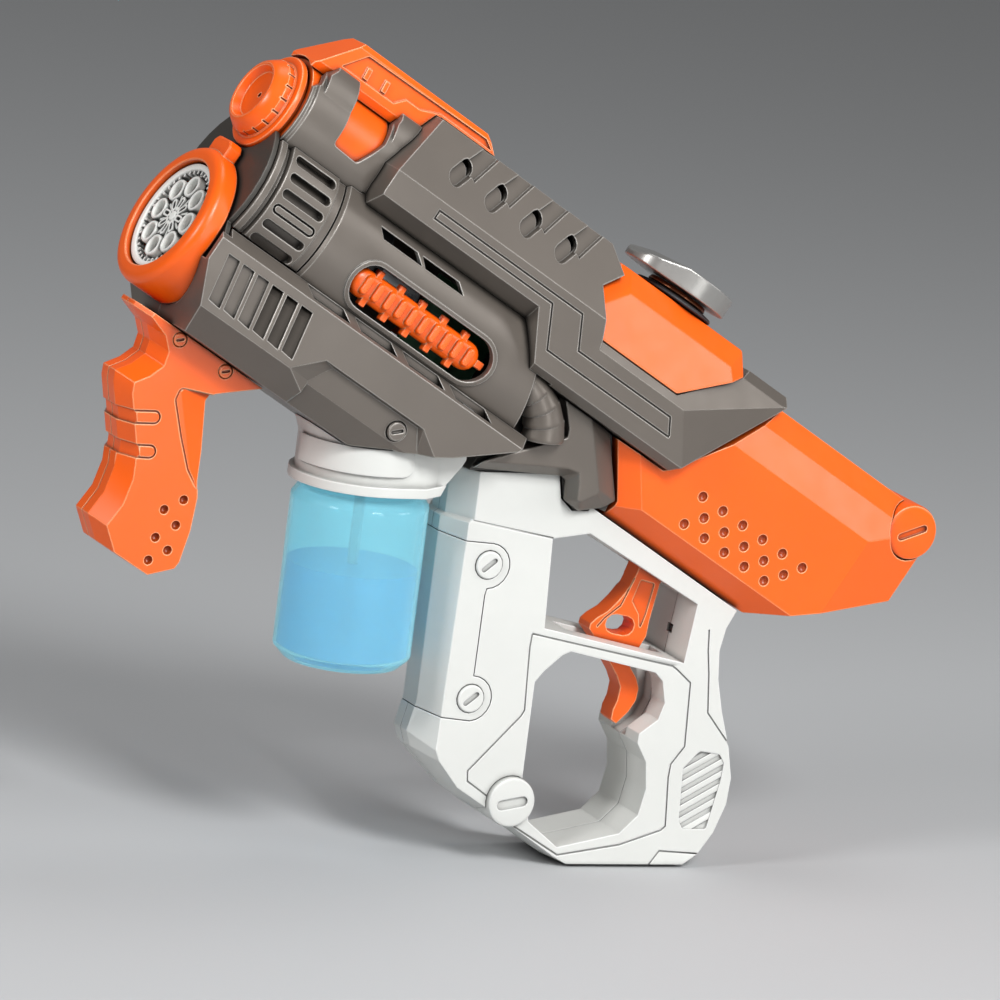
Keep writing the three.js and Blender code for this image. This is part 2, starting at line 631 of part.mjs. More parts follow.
const motorT = muzzleAxisT + gearDistance;
const wandGear = () => joined(
  spurGear(wandTeeth, 90, muzzleAxisT, 0.5),
  rod(1.3, -152.7, -135.6, 'rear', [0, 0, muzzleAxisT]),
);
const motorPinion = () => spurGear(pinionTeeth, 90 + 180 / pinionTeeth, motorT, 0.9 + gap);

function gearMotor() {
  const can = rod(9.5, -136.6, -117, 'rear', [0, 0, motorT], 24)
    .intersect(bar(box(-12, motorT - 6.8, 12, motorT + 6.8), -140, -110));
  const shaft = rod(0.9, -140.8, -136, 'rear', [0, 0, motorT], 12);
  const rearBoss = rod(3, -118, -115.5, 'rear', [0, 0, motorT], 16);
  return joined(can, shaft, rearBoss);
}

const fanFront = -104;
const fanBlades = 7;

function fanImpeller() {
  const at = [0, 0, barrelAxisT];
  const hub = [[0, fanFront - 1], [4, fanFront], [6, fanFront + 8], [0, fanFront + 8]];
  let solid = turned(hub, 'rear', at, 20);
  for (let i = 0; i < fanBlades; i += 1) {
    const blade = bar([[4, -0.6], [18.4, -0.6], [18.4, 0.6], [4, 0.6]], fanFront + 1, fanFront + 7.4);
    solid = joined(solid, blade.rotate([(360 / fanBlades) * i, 0, 0]).translate([0, 0, barrelAxisT]));
  }
  solid = joined(solid, rod(18.4, fanFront + 6.8, fanFront + 8, 'rear', at, 24));
  return cut(solid, rod(1.2, fanFront + 3, -90, 'rear', at, 12));
}

const fanHousing = () => joined(
  tube(22, 20.2, fanFront - 6, fanFront + 11, 'rear', [0, 0, barrelAxisT], 24),
  tube(21, 12.4, fanFront + 10, fanFront + 12, 'rear', [0, 0, barrelAxisT], 24),
);

const fanMotor = () => joined(
  rod(11.6, fanFront + 9, fanFront + 33, 'rear', [0, 0, barrelAxisT], 28),
  rod(0.9, fanFront + 3.4, fanFront + 9.5, 'rear', [0, 0, barrelAxisT], 12),
);

const circuitBoard = () => plate(box(-64, 22, -34, 48), -0.8, 0.8);

// soap pump under the fan, fed from the bottle and feeding the wand
const soapPump = () => joined(
  rod(5.6, -12, 12, 'left', [-112, 0, -4.4], 24),
  bar(box(-9, -11.8, 9, -4), -118, -98),
);

function hoseAlong(points, radius) {
  const path = new THREE.CatmullRomCurve3(points.map(([s, w, t]) => new THREE.Vector3(s, -w, t)));
  const section = new THREE.Shape().absarc(0, 0, radius, 0, Math.PI * 2);
  const settings = { steps: 12, extrudePath: path, curveSegments: 4 };
  return solidOf(new THREE.ExtrudeGeometry(section, settings));
}
const hoseRadius = 1.8;
const wandHose = () => hoseAlong([
  [-118.4, 0, -8], [-122, 0, -7.8], [-127, 0, -8], [-133, 0, -8],
], hoseRadius);
const bottleHose = () => hoseAlong([
  [-97.4, 0, -8], [-90, 0, -8], [-82, 2, -6], [-74, 4, -4], [-66, 4, -1],
], hoseRadius);

// ---------------------------------------------------------------- behind the barrel
const receiverSide = (g) => grown([
  inBarrel([-20, 13.3]), inBarrel([13.2, 13.3]), inBarrel([14.8, 5]), inBarrel([18.9, 1.2]),
  inBarrel([24.2, 1.2]), [20.9, 14.9], [25.9, 15.8], [25.1, 20.6], [12.4, 37.2], [-27, 37.2],
  [-24.4, 20.8],
], g);

// a block open to the rear, between the armour, the grip and the stock
function receiverBlock() {
  const halfWidth = 15.6;
  const openRear = bar(box(wall - halfWidth, 22, halfWidth - wall, 35), 0, 30);
  const armour = lowerArmourRoom();
  return cut(
    plate(receiverSide(0), -halfWidth, halfWidth),
    plate(receiverSide(-wall), wall - halfWidth, halfWidth - wall), openRear,
    armour, armour.mirror([0, 1, 0]),
  );
}

// bent bracket that ties the armour to the grip
function sideBracket() {
  const foot = [
    [-24.6, 2.6], [4.4, 17], [6.6, 16.6], [10.2, 11.2], [16.4, 10.8], [23.6, 16.6], [25.8, 20.4],
    [9.9, 37.4], [-12.4, 37.4], [-5.3, 30.3], [-4.2, 27.8], [-15.7, 15.7],
  ];
  const face = [
    [-25, 5.9], [2.6, 20.1], [6.6, 20.8], [9, 18], [11.8, 13.2], [13, 13.6], [16.4, 18.6],
    [16.2, 19.8], [-0.7, 37.4], [-12.4, 37.4], [-5.3, 30.3], [-4.2, 27.8], [-15.7, 15.7],
  ];
  const matching = [...foot.slice(0, 5), [20.2, 13.8], ...foot.slice(5)];
  const solid = lofted([
    { w: 15.9, points: matching }, { w: 17.6, points: matching }, { w: 22, points: face },
  ]);
  return cut(solid, lowerArmourRoom());
}

// ribbed elbow between the barrel and the bracket
function conduit() {
  const from = new THREE.Vector2(-22.6, 34.9);
  const to = new THREE.Vector2(-11.5, 21.2);
  const along = to.clone().sub(from);
  const length = along.length();
  const profile = [
    [0, 0], [3.8, 0], [4.4, 6], [4, 6.4], [5, 11.2], [4.6, 11.6], [5.6, 15.4], [5.3, length - 3],
    [0, length - 3],
  ];
  const lathe = new THREE.LatheGeometry(profile.map(([r, h]) => new THREE.Vector2(r, h)), 16);
  const direction = new THREE.Vector3(along.x, 0, along.y).normalize();
  lathe.applyQuaternion(new THREE.Quaternion().setFromUnitVectors(new THREE.Vector3(0, 1, 0), direction));
  return solidOf(lathe.translate(from.x, -21.9, from.y));
}

// orange stock: two hollow halves that narrow towards the pin at the rear
const stockSection = (g) => grown([
  [-20, 15], [13, 15], [stockHalfWidth, 22.7], [stockHalfWidth, 57.2], [16.8, 68.5], [9.8, 76.2],
  [-20, 76.2],
], g);
const stockSide = (g) => grown([
  [27.3, 15], [91, 15], [133.9, 45.8], [133.9, 70], [131, 75], [124, 77.4], [112, 76.2], [62.4, 76.2],
  [61.6, 75], [33.6, 38.6], [31.6, 37.1], [13.4, 37.1], [26.2, 20.6],
], g);
const stockRearPlane = (inset) => beyond(
  [110.5 - inset, stockHalfWidth, 0], [110.5 - inset, stockHalfWidth, 60],
  [133.9 - inset, stockEndHalfWidth, 60], [120, 60, 20]);

// the front of the stock leans in towards the bracket
const stockFrontPlane = (inset) => beyond(
  [32.2 + inset, stockHalfWidth, 24], [18.8 + inset, stockHalfWidth, 40.2], [26.2 + inset, 18, 20.6],
  [0, 40, 0]);

function stockHalf() {
  const solid = (g, w0) => bar(stockSection(g), 5, 140).intersect(plate(stockSide(g), w0, 40));
  const pinAt = [stockPin[0], 0, stockPin[1]];
  const pinRoom = rod(stockPinRadius + gap, -40, 40, 'left', pinAt, 28);
  const pinWall = rod(stockPinRadius + wall, -40, 40, 'left', pinAt, 28);
  const outside = cut(solid(0, seam), stockRearPlane(0), stockFrontPlane(0), pinRoom);
  const inside = cut(solid(-wall, -1), stockRearPlane(2 * wall), stockFrontPlane(2 * wall), pinWall);
  return cut(outside, inside);
}

const stockPinBody = () => turned([
  [0, -16.6], [8.3, -16.6], [stockPinRadius, -15.6], [stockPinRadius, 15.6], [8.3, 16.6], [0, 16.6],
], 'left', [stockPin[0], 0, stockPin[1]], 28);

// ---------------------------------------------------------------- foregrip
const foregripFace = [
  [-145.6, -14.9], [-145.6, -16.5], [-138, -18.8], [-134, -22.3], [-132.6, -26.8], [-134.6, -31.8],
  [-138, -36.4], [-136.4, -39.6], [-130, -46.8], [-123.6, -54], [-119.4, -61.6], [-117.4, -70],
  [-118, -78.4], [-110.5, -84], [-96.5, -84], [-89.8, -77.6], [-89.6, -75], [-92.6, -64.8],
  [-97, -55], [-100.2, -50.6], [-104.6, -42], [-110, -33], [-112.8, -28.4], [-112.4, -25],
  [-99.4, -14.9],
];
const foregripFrontPoints = 13;
const foregripChamfer = 4.7;

function foregripHalf() {
  const outer = foregripFace.map(([s, t], i) => [i <= foregripFrontPoints ? s - foregripChamfer : s, t]);
  const solid = lofted([
    { w: seam, points: outer }, { w: 5, points: outer }, { w: foregripHalfWidth, points: foregripFace },
  ]);
  const hollow = plate([
    [-141, -17.8], [-136, -20.2], [-131, -28], [-134.8, -37], [-121, -55], [-115, -68], [-114.6, -78],
    [-109, -81.6], [-97.6, -81.6], [-92.2, -76], [-95.2, -64], [-101, -53], [-112, -34], [-115.8, -27],
    [-115, -22.6], [-106, -17.8],
  ], -1, foregripHalfWidth - wall);
  const screwRooms = foregripScrewS.map((s) => rod(2.5, 9.6, 20, 'left', [s, 0, foregripScrewT]));
  return cut(solid, hollow, ...screwRooms);
}

const foregripScrew = (s) => rod(2.2, 9.9, 12.4, 'left', [s, 0, foregripScrewT], 12);
const podScrew = () => rod(3.2, 26.2, 28.2, 'left', [podScrewAt[0], 0, podScrewAt[1]], 14);

// ---------------------------------------------------------------- grip frame (upright frame)
const gripMiddle = [
  [-21.5, gripTop], [-21.5, -3.2], [-23.1, -4.2], [-23.1, -66], [-25.3, -76], [-23.4, -81], [-8, -95.6],
  [10.4, -105.6], [28, -116.4], [34, gripFoot], [76.3, gripFoot], [82.2, -114.2], [86.6, -107], [89.8, -97],
  [90.3, -88], [88, -77.6], [83.6, -65], [80.8, -54.6], [79.8, -45], [81.2, -37.4], [84.2, -31.9],
  [25.4, 2], [24.6, 0.6], [18.6, 0.6], [14.2, 4.6], [12.6, gripTop],
];
const gripFace = [
  [-15.4, gripTop], [-15.4, -3.2], [-17.2, -4.2], [-18.4, -66], [-18.7, -80], [-17, -83.6], [-9.5, -92.2],
  [3.4, -99.8], [28, -115], [33, -117.6], [75.6, -117.6], [80.8, -113.8], [85.4, -106.6], [88.8, -97],
  [89.3, -88], [87, -78], [82.6, -65.4], [79.8, -54.8], [78.8, -45], [80.2, -37.4], [83.2, -31.5],
  [25.4, 2], [24.6, 0.6], [18.6, 0.6], [14.2, 4.6], [12.6, gripTop],
];
const triggerWindow = [[13.2, -8.8], [26.4, -6.8], [68.6, -29.6], [66.4, -49.4], [14.4, -38.6]];
const handHole = [
  [13.4, -88], [13.4, -56.6], [16.4, -52.8], [22, -47.6], [25, -46.2], [56.6, -52.8], [59.6, -55.6],
  [61.4, -63], [59.8, -68.6], [53.6, -73.4], [53.4, -76.6], [57.4, -83], [58.7, -92], [57, -101],
  [51, -107.2], [29.2, -112], [17.6, -103.4],
];
const batteryBay = box(-30, -66.2, 10.4, -11);
const coverOutline = [
  [-40, -8.4], [-28.8, -8.4], [-17.6, -10.4], [-8.6, -11], ...arc(-8.4, -18.4, 7.4, 84, -88, 10),
  [-8.6, -28], [-8.8, -55], ...arc(-8.9, -62.4, 7.4, 88, -84, 10), [-17.8, -68.8], [-30, -66.4],
  [-40, -66.4],
];

function gripOutside(w0) {
  return lofted([
    { w: w0, points: counterClockwise(gripMiddle) },
    { w: 5, points: counterClockwise(gripMiddle) },
    { w: gripHalfWidth, points: counterClockwise(gripFace) },
  ]);
}

function gripHalf() {
  const slotHalfWidth = triggerHalfWidth + 1.2;
  const triggerSlot = plate([
    [24, -37], [28.8, -36], [62, -28], [66, -40], [63.4, -50], [63.6, -66], [60.8, -72], [54, -77],
    [36, -56], [30, -46],
  ], -1, slotHalfWidth);
  const pivotRoom = plate([[44, -28], [44, -8], [50.4, -10], [66, -18], [66, -30]], -1, slotHalfWidth);
  const switchBay = plate(box(69.6, -45.4, 75.4, -36.6), -1, slotHalfWidth);
  const plungerSlot = plate(box(64, -42.8, 70, -39.8), -1, 2);
  return cut(
    gripOutside(seam),
    plate(triggerWindow, -1, 20),
    plate(handHole, -1, 20),
    plate(batteryBay, -1, coverCoreHalfWidth - wall),
    cut(plate(grown(coverOutline, gap), -1, 20), coverCore(gap)),
    triggerSlot, pivotRoom, switchBay, plungerSlot,
    rod(gripPinRadius + gap, -30, 30, 'left', [gripPin[0], 0, gripPin[1]], 24),
    rod(1.5 + gap, -30, triggerHalfWidth + 5, 'left', [triggerPivot[0], 0, triggerPivot[1]], 16),
  );
}

const gripPinBody = () => turned([
  [0, -17.4], [7.4, -17.4], [gripPinRadius, -16.5], [gripPinRadius, 16.5], [7.4, 17.4], [0, 17.4],
], 'left', [gripPin[0], 0, gripPin[1]], 24);

// what the battery cover closes round, drawn in by a clearance
const coverCoreHalfWidth = 12.8;
function coverCore(clearance) {
  const front = -20.9 + clearance;
  const half = coverCoreHalfWidth - clearance;
  const plan = [
    [front, -4], [front + 5.6, -half], [30, -half], [30, half], [front + 5.6, half], [front, 4],
  ];
  return slab(plan, -80, 10);
}

// battery cover: wraps the front of the column and reaches back under its two screws
function batteryCover() {
  const side = gripOutside(-seam).intersect(plate(coverOutline, -20, 20));
  const screwRoom = ([x, z]) => rod(4.9, 14, 20, 'left', [x, 0, z]);
  const half = cut(side, coverCore(0), screwRoom(coverScrewTop), screwRoom(coverScrewFoot));
  return joined(half, half.mirror([0, 1, 0]));
}
const coverScrewTop = [-8.4, -18];
const coverScrewFoot = [-8.9, -62.4];

const coverScrew = ([x, z]) => turned([
  [0, 14.3], [4.6, 14.3], [4.6, 15.2], [4, 15.8], [0, 15.8],
], 'left', [x, 0, z], 16);

const cellRadius = 7.1;
const batteryCell = (x) => joined(
  rod(cellRadius, -63.4, -13.6, 'up', [x, 0, 0], 24),
  rod(2.6, -14, -12.4, 'up', [x, 0, 0], 16),
);

// ---------------------------------------------------------------- trigger
function triggerLever() {
  const outline = [
    [54.6, -17.9], [57.4, -17.3], [60.2, -19.2], [61, -22.4], [59.4, -26], [57.4, -38], [57, -43.4],
    [54, -49], [52.8, -54], [55.4, -57.4], [56.8, -61], [56.4, -65], [54.1, -69], [50.2, -73],
    [48.2, -71.6], [48.4, -68.4], [49.6, -65], [50, -60.6], [48.2, -56.8], [45.4, -53], [41.6, -47.6],
    [37.4, -43], [35.9, -41.2], [36.2, -39.4], [38.2, -37.5], [41.9, -35.2], [45.4, -31.5],
    [48.9, -26.7], [50.6, -22.3], [51.6, -18.8],
  ];
  return cut(
    plate(outline, -triggerHalfWidth, triggerHalfWidth),
    plate(oblong(46.9, -39.7, 10.6, 6.4, -10, 5), -10, 10),
    rod(1.5 + gap, -20, 20, 'left', [triggerPivot[0], 0, triggerPivot[1]], 16),
  );
}
const triggerPin = () => rod(1.5, -triggerHalfWidth - 4.6, triggerHalfWidth + 4.6, 'left',
  [triggerPivot[0], 0, triggerPivot[1]], 16);
const microSwitch = () => joined(
  plate(box(70.2, -44.8, 74.8, -37.2), -4.6, 4.6),
  plate(box(67.8, -42, 70.4, -40.6), -1.5, 1.5),
);

// ---------------------------------------------------------------- bottle and collar
function bottle() {
  const r = bottleRadius;
  const thin = 1.3;
  const outside = [
    [0, bottleBottom], [r - 5, bottleBottom], [r - 1.6, bottleBottom + 1.6], [r, bottleBottom + 5], [r, -1],
    [r - 1.6, 2.4], [r - 4.6, bottleTop], [neckRadius, bottleTop + 0.4], [neckRadius, neckTop],
  ];
  const inside = [
    [neckRadius - thin, neckTop], [neckRadius - thin, bottleTop - 0.4], [r - 5, bottleTop - 1.2],
    [r - thin - 1.4, 1.4], [r - thin, -1.6], [r - thin, bottleBottom + 5.4], [r - 3, bottleBottom + 3],
    [r - 6, bottleBottom + 1.8], [0, bottleBottom + 1.8],
  ];
  return turned([...outside, ...inside], 'up', [bottleX, 0, 0], 28);
}

const dipTube = () => tube(1.8, 1, -48, collarTop - 3.5, 'up', [bottleX, 0, 0], 12);

// screw collar with a lip, and the web that carries it on the grip column
function bottleCollar() {
  const at = [bottleX, 0, 0];
  const webPlan = (inset) => [
    [bottleX, -24.2 + inset], [-38, -24.2 + inset], [-25, -15.4 + inset], [-21.9, -15 + inset],
    [-21.9, 15 - inset], [-25, 15.4 - inset], [-38, 24.2 - inset], [bottleX, 24.2 - inset],
  ];
  const lip = joined(rod(24.2, collarBottom, 8.4, 'up', at, 32), slab(webPlan(0), collarBottom, 8.4));
  const body = joined(rod(22.4, 8, collarTop, 'up', at, 32), slab(webPlan(1.8), 8, collarTop));
  const funnel = turned([
    [17, collarTop - 1], [22.4, collarTop - 1], [25.4, collarTop + 7], [17, collarTop + 7],
    [17, collarTop - 1],
  ], 'up', at, 32);
  const armour = joined(lowerArmourRoom(), lowerArmourRoom().mirror([0, 1, 0]))
    .rotate([0, barrelPitch, 0]);
  const bore = rod(neckRadius + 0.5, 0, neckTop + 1, 'up', at, 32);
  const columnRoom = slab([[-24, -20], [-10, -20], [-10, 20], [-24, 20]], -5, gripTop + gap);
  const room = plate(grown(receiverSide(0), gap), -20, 20).rotate([0, barrelPitch, 0]);
  return cut(joined(lip, body, cut(funnel, armour)), bore, columnRoom, room, rod(2.2, 0, 40, 'up', at, 16));
}

// ---------------------------------------------------------------- all pieces
addPair(barrel, 'lower_armour', lowerArmour(), grey);
addPair(barrel, 'rail_armour', railArmour(), grey);
addPair(barrel, 'receiver_panel', receiverPanel(), orange);
addPair(barrel, 'barrel_shell', barrelShell(), grey);
addPair(barrel, 'ribbed_core', ribbedCore(), orange);
addPair(barrel, 'front_shroud', frontShroud(), grey);
addPair(barrel, 'cap_sleeve', capSleeve(), grey);
addPiece(barrel, 'inner_tube', innerTube(), orange);
addPiece(barrel, 'top_bridge', topBridge(), orange);
addPiece(barrel, 'front_cap', frontCap(), orange);
addPiece(barrel, 'muzzle_bezel', muzzleBezel(), orange);
addPiece(barrel, 'front_bulkhead', frontBulkhead(), darkGrey);
addPiece(barrel, 'bubble_wand', bubbleWand(), white);
addPiece(barrel, 'wand_gear', wandGear(), darkGrey);
addPiece(barrel, 'motor_pinion', motorPinion(), darkGrey);
addPiece(barrel, 'wand_motor', gearMotor(), steel);
addPiece(barrel, 'fan_impeller', fanImpeller(), black);
addPiece(barrel, 'fan_housing', fanHousing(), black);
addPiece(barrel, 'fan_motor', fanMotor(), steel);
addPiece(barrel, 'circuit_board', circuitBoard(), boardGreen);
addPiece(barrel, 'soap_pump', soapPump(), white);
addPiece(barrel, 'wand_hose', wandHose(), softClear);
addPiece(barrel, 'bottle_hose', bottleHose(), softClear);
addPiece(barrel, 'knob_seat', knobSeat(), black);
addPiece(barrel, 'knob_neck', knobNeck(), copper);
addPiece(barrel, 'mode_knob', knobCap(), silver);
addPiece(barrel, 'receiver_block', receiverBlock(), darkGrey);
addPair(barrel, 'side_bracket', sideBracket(), grey);
addPair(barrel, 'conduit', conduit(), darkGrey);
addPair(barrel, 'stock', stockHalf(), orange);
addPiece(barrel, 'stock_pin', stockPinBody(), orange);
addPair(barrel, 'foregrip', foregripHalf(), orange);
addPiece(barrel, 'foregrip_screw_front', foregripScrew(foregripScrewS[0]), orange);
addPiece(barrel, 'foregrip_screw_rear', foregripScrew(foregripScrewS[1]), orange);
addPiece(barrel, 'pod_screw', podScrew(), grey);
addPair(upright, 'grip', gripHalf(), white);
addPiece(upright, 'grip_pin', gripPinBody(), white);
addPiece(upright, 'battery_cover', batteryCover(), white);
addPiece(upright, 'cover_screw_top', coverScrew(coverScrewTop), white);
addPiece(upright, 'cover_screw_foot', coverScrew(coverScrewFoot), white);
addPiece(upright, 'battery_front', batteryCell(-12.6), black);
addPiece(upright, 'battery_rear', batteryCell(2.4), black);
addPiece(upright, 'trigger', triggerLever(), orange);
addPiece(upright, 'trigger_pin', triggerPin(), steel);
addPiece(upright, 'micro_switch', microSwitch(), black);
addPiece(upright, 'bottle', bottle(), clearBlue);
addPiece(upright, 'dip_tube', dipTube(), softClear);
addPiece(upright, 'bottle_collar', bottleCollar(), white);

machine.updateMatrixWorld(true);
const bounds = new THREE.Box3().setFromObject(machine, true);
const centre = bounds.getCenter(new THREE.Vector3());
machine.position.set(-centre.x, -centre.y, -bounds.min.z);

export default machine;
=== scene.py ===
# Detailed visual model of the toy bubble blaster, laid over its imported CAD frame.
#
# Pieces are drawn in millimetres in two working frames and turned into metres at the end.
# The camera, the floor, the lights and the materials use metres.
# The upright frame is the row frame with its origin inside the object.  The barrel frame
# is pitched 30 degrees nose-up: s runs to the rear along the barrel and t square to it, up.
# In both, w is the distance from the middle plane towards the left side (w = -y).
import json
import math

import bmesh
import bpy
from mathutils import Matrix, Vector


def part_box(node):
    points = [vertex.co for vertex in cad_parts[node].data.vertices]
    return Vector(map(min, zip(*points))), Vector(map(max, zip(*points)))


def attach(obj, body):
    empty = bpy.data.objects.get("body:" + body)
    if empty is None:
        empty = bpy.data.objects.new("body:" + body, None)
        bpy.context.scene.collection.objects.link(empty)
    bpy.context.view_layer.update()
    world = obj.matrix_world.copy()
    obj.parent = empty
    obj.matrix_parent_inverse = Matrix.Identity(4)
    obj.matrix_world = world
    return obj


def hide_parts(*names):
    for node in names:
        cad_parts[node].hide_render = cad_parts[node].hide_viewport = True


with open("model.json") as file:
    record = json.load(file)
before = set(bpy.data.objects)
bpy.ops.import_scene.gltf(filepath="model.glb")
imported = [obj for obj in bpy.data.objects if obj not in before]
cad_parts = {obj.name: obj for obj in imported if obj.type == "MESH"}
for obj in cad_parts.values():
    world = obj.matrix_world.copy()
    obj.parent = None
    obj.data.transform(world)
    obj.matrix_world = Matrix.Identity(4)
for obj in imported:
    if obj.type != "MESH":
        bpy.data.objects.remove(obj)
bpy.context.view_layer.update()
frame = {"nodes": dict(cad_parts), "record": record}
nodes = frame["nodes"]

# ------------------------------------------------------------------ frames
BARREL_PITCH = math.radians(30)
BOTTLE_X = -49.6           # bottle axis in the upright frame
GRIP_FOOT = -118.75        # underside of the grip in the upright frame

bottle_low, bottle_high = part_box("bottle")
grip_low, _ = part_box("grip_left")
origin = Vector((
    (bottle_low.x + bottle_high.x) / 2 - BOTTLE_X / 1000,
    0,
    grip_low.z - GRIP_FOOT / 1000,
))
UPRIGHT = Matrix.Translation(origin) @ Matrix.Scale(0.001, 4)
BARREL = UPRIGHT @ Matrix.Rotation(BARREL_PITCH, 4, "Y")


# ------------------------------------------------------------------ camera, floor and light
CAMERA_RIGHT = (0.9011, -0.4152, 0.1248)
CAMERA_BACK = (-0.4329, -0.8775, 0.2062)      # from the object towards the camera
CAMERA_DISTANCE = 2.688
CAMERA_LENS = 300
FLOOR_REACH = 3.0
FLOOR_COLOUR = (0.47, 0.48, 0.49, 1)
WORLD_STRENGTH = 0.17
LIGHTS = (
    # name, place, the point it faces, size, power
    ("key", (0.1, -1.15, 1.1), (0, 0, 0.16), (0.45, 0.45), 19),
    ("sheen", (0.95, -0.55, 0.6), (0, 0, 0.17), (0.5, 0.5), 3.6),
    ("window", (0.12, -0.75, 0.25), (0, 0, 0.12), (0.12, 0.5), 1.2),
    ("front", (-1.3, -0.45, 0.95), (0, 0, 0.16), (0.35, 0.35), 10),
    ("top", (0.3, 0.3, 1.5), (0, 0, 0.14), (0.6, 0.6), 3),
)


def new_object(name, data):
    thing = bpy.data.objects.new(name, data)
    bpy.context.scene.collection.objects.link(thing)
    return thing


def make_camera():
    back = Vector(CAMERA_BACK).normalized()
    up = back.cross(Vector(CAMERA_RIGHT).normalized()).normalized()
    right = up.cross(back).normalized()
    turn = Matrix((right, up, back)).transposed().to_4x4()
    data = bpy.data.cameras.new("camera")
    data.lens = CAMERA_LENS
    data.sensor_width = 36
    data.clip_end = 50
    camera = new_object("camera", data)
    camera.matrix_world = Matrix.Translation(origin + back * CAMERA_DISTANCE) @ turn
    bpy.context.scene.camera = camera


def make_floor():
    r = FLOOR_REACH
    mesh = bpy.data.meshes.new("floor")
    mesh.from_pydata([(-r, -r, 0), (r, -r, 0), (r, r, 0), (-r, r, 0)], [], [(0, 1, 2, 3)])
    material = bpy.data.materials.new("floor_paint")
    material.use_nodes = True
    shader = material.node_tree.nodes["Principled BSDF"]
    shader.inputs["Base Color"].default_value = FLOOR_COLOUR
    shader.inputs["Roughness"].default_value = 0.7
    mesh.materials.append(material)
    floor = new_object("floor", mesh)


def area_light(name, place, target, size, power):
    data = bpy.data.lights.new(name, "AREA")
    data.shape = "RECTANGLE"
    data.size, data.size_y = size
    data.energy = power
    light = new_object(name, data)
    light.location = place
    direction = Vector(target) - Vector(place)
    light.rotation_euler = direction.to_track_quat("-Z", "Y").to_euler()


def make_lights():
    world = bpy.data.worlds.new("studio")
    world.use_nodes = True
    background = world.node_tree.nodes["Background"]
    background.inputs["Color"].default_value = (1.0, 1.0, 1.0, 1)
    background.inputs["Strength"].default_value = WORLD_STRENGTH
    bpy.context.scene.world = world
    for light in LIGHTS:
        area_light(*light)


# ------------------------------------------------------------------ outlines
def on_circle(cx, cy, r, degrees):
    a = math.radians(degrees)
    return (cx + r * math.cos(a), cy + r * math.sin(a))


def arc(cx, cy, r, start, end, steps):
    return [on_circle(cx, cy, r, start + (end - start) * i / steps) for i in range(steps + 1)]


def circle(cx, cy, r, steps=48):
    return arc(cx, cy, r, 0, 360, steps)[:-1]


def oblong(cx, cy, length, width, degrees, steps=10):
    """A slot outline with round ends, its long way turned by an angle."""
    r = width / 2
    dx, dy = on_circle(0, 0, length / 2 - r, degrees)
    return (arc(cx + dx, cy + dy, r, degrees - 90, degrees + 90, steps)
            + arc(cx - dx, cy - dy, r, degrees + 90, degrees + 270, steps))


def rectangle(x0, y0, x1, y1):
    return [(x0, y0), (x1, y0), (x1, y1), (x0, y1)]


def counter_clockwise(points):
    area = sum(a[0] * b[1] - b[0] * a[1] for a, b in zip(points, points[1:] + points[:1]))
    return points if area > 0 else points[::-1]


def offset(points, distance, closed=True):
    """Each point moved sideways by a distance: outwards on a counter-clockwise loop."""
    count = len(points)
    moved = []
    for i, point in enumerate(points):
        before = points[i - 1] if closed or i > 0 else None
        after = points[(i + 1) % count] if closed or i < count - 1 else None
        sides = []
        if before is not None:
            sides.append(Vector(point) - Vector(before))
        if after is not None:
            sides.append(Vector(after) - Vector(point))
        normals = [Vector((v.y, -v.x)).normalized() for v in sides]
        mean = sum(normals, Vector((0, 0))).normalized()
        reach = distance / max(0.4, mean.dot(normals[0]))
        moved.append((point[0] + mean.x * reach, point[1] + mean.y * reach))
    return moved


def stroke(points, width):
    """The outline of an open line of a given width."""
    left = offset(points, width / 2, closed=False)
    right = offset(points, -width / 2, closed=False)
    return left + right[::-1]


def corner_arc(before, here, after, radius, steps):
    """The points that round one corner of an outline."""
    here = Vector(here)
    back = Vector(before) - here
    ahead = Vector(after) - here
    half = back.angle(ahead) / 2
    reach = min(radius / math.tan(half), back.length * 0.45, ahead.length * 0.45)
    start = here + back.normalized() * reach
    end = here + ahead.normalized() * reach
    curve = []
    for k in range(steps + 1):
        f = k / steps
        curve.append(tuple((1 - f) ** 2 * start + 2 * f * (1 - f) * here + f * f * end))
    return curve


def rounded(points, radius, steps=5):
    """A closed outline with every corner turned into an arc."""
    result = []
    for i, here in enumerate(points):
        result += corner_arc(points[i - 1], here, points[(i + 1) % len(points)], radius, steps)
    return result


def rounded_profile(points, radius, steps=5):
    """A (radius, height) profile with its inner corners turned into arcs."""
    result = [points[0]]
    for before, here, after in zip(points, points[1:], points[2:]):
        result += corner_arc(before, here, after, radius, steps)
    return result + [points[-1]]


# ------------------------------------------------------------------ solids
def new_solid(vertices, faces):
    """A closed mesh object with its faces turned outwards."""
    mesh = bpy.data.meshes.new("solid")
    mesh.from_pydata(vertices, [], faces)
    work = bmesh.new()
    work.from_mesh(mesh)
    bmesh.ops.remove_doubles(work, verts=work.verts, dist=1e-4)
    bmesh.ops.recalc_face_normals(work, faces=work.faces)
    work.to_mesh(mesh)
    work.free()
    return new_object("solid", mesh)


def swept(points, place, low, high):
    """An outline given depth: place(a, b, d) puts an outline point at depth d."""
    count = len(points)
    vertices = [place(a, b, low) for a, b in points] + [place(a, b, high) for a, b in points]
    sides = [(i, (i + 1) % count, count + (i + 1) % count, count + i) for i in range(count)]
    caps = [tuple(range(count))[::-1], tuple(range(count, 2 * count))]
    return new_solid(vertices, sides + caps)


def plate(points, w0, w1):
    """A side outline (along, up) with thickness from w0 to w1."""
    return swept(points, lambda a, b, w: (a, -w, b), w0, w1)


def bar(points, s0, s1):
    """A cross-section (w, up) run from s0 to s1."""
    return swept(points, lambda w, t, s: (s, -w, t), s0, s1)


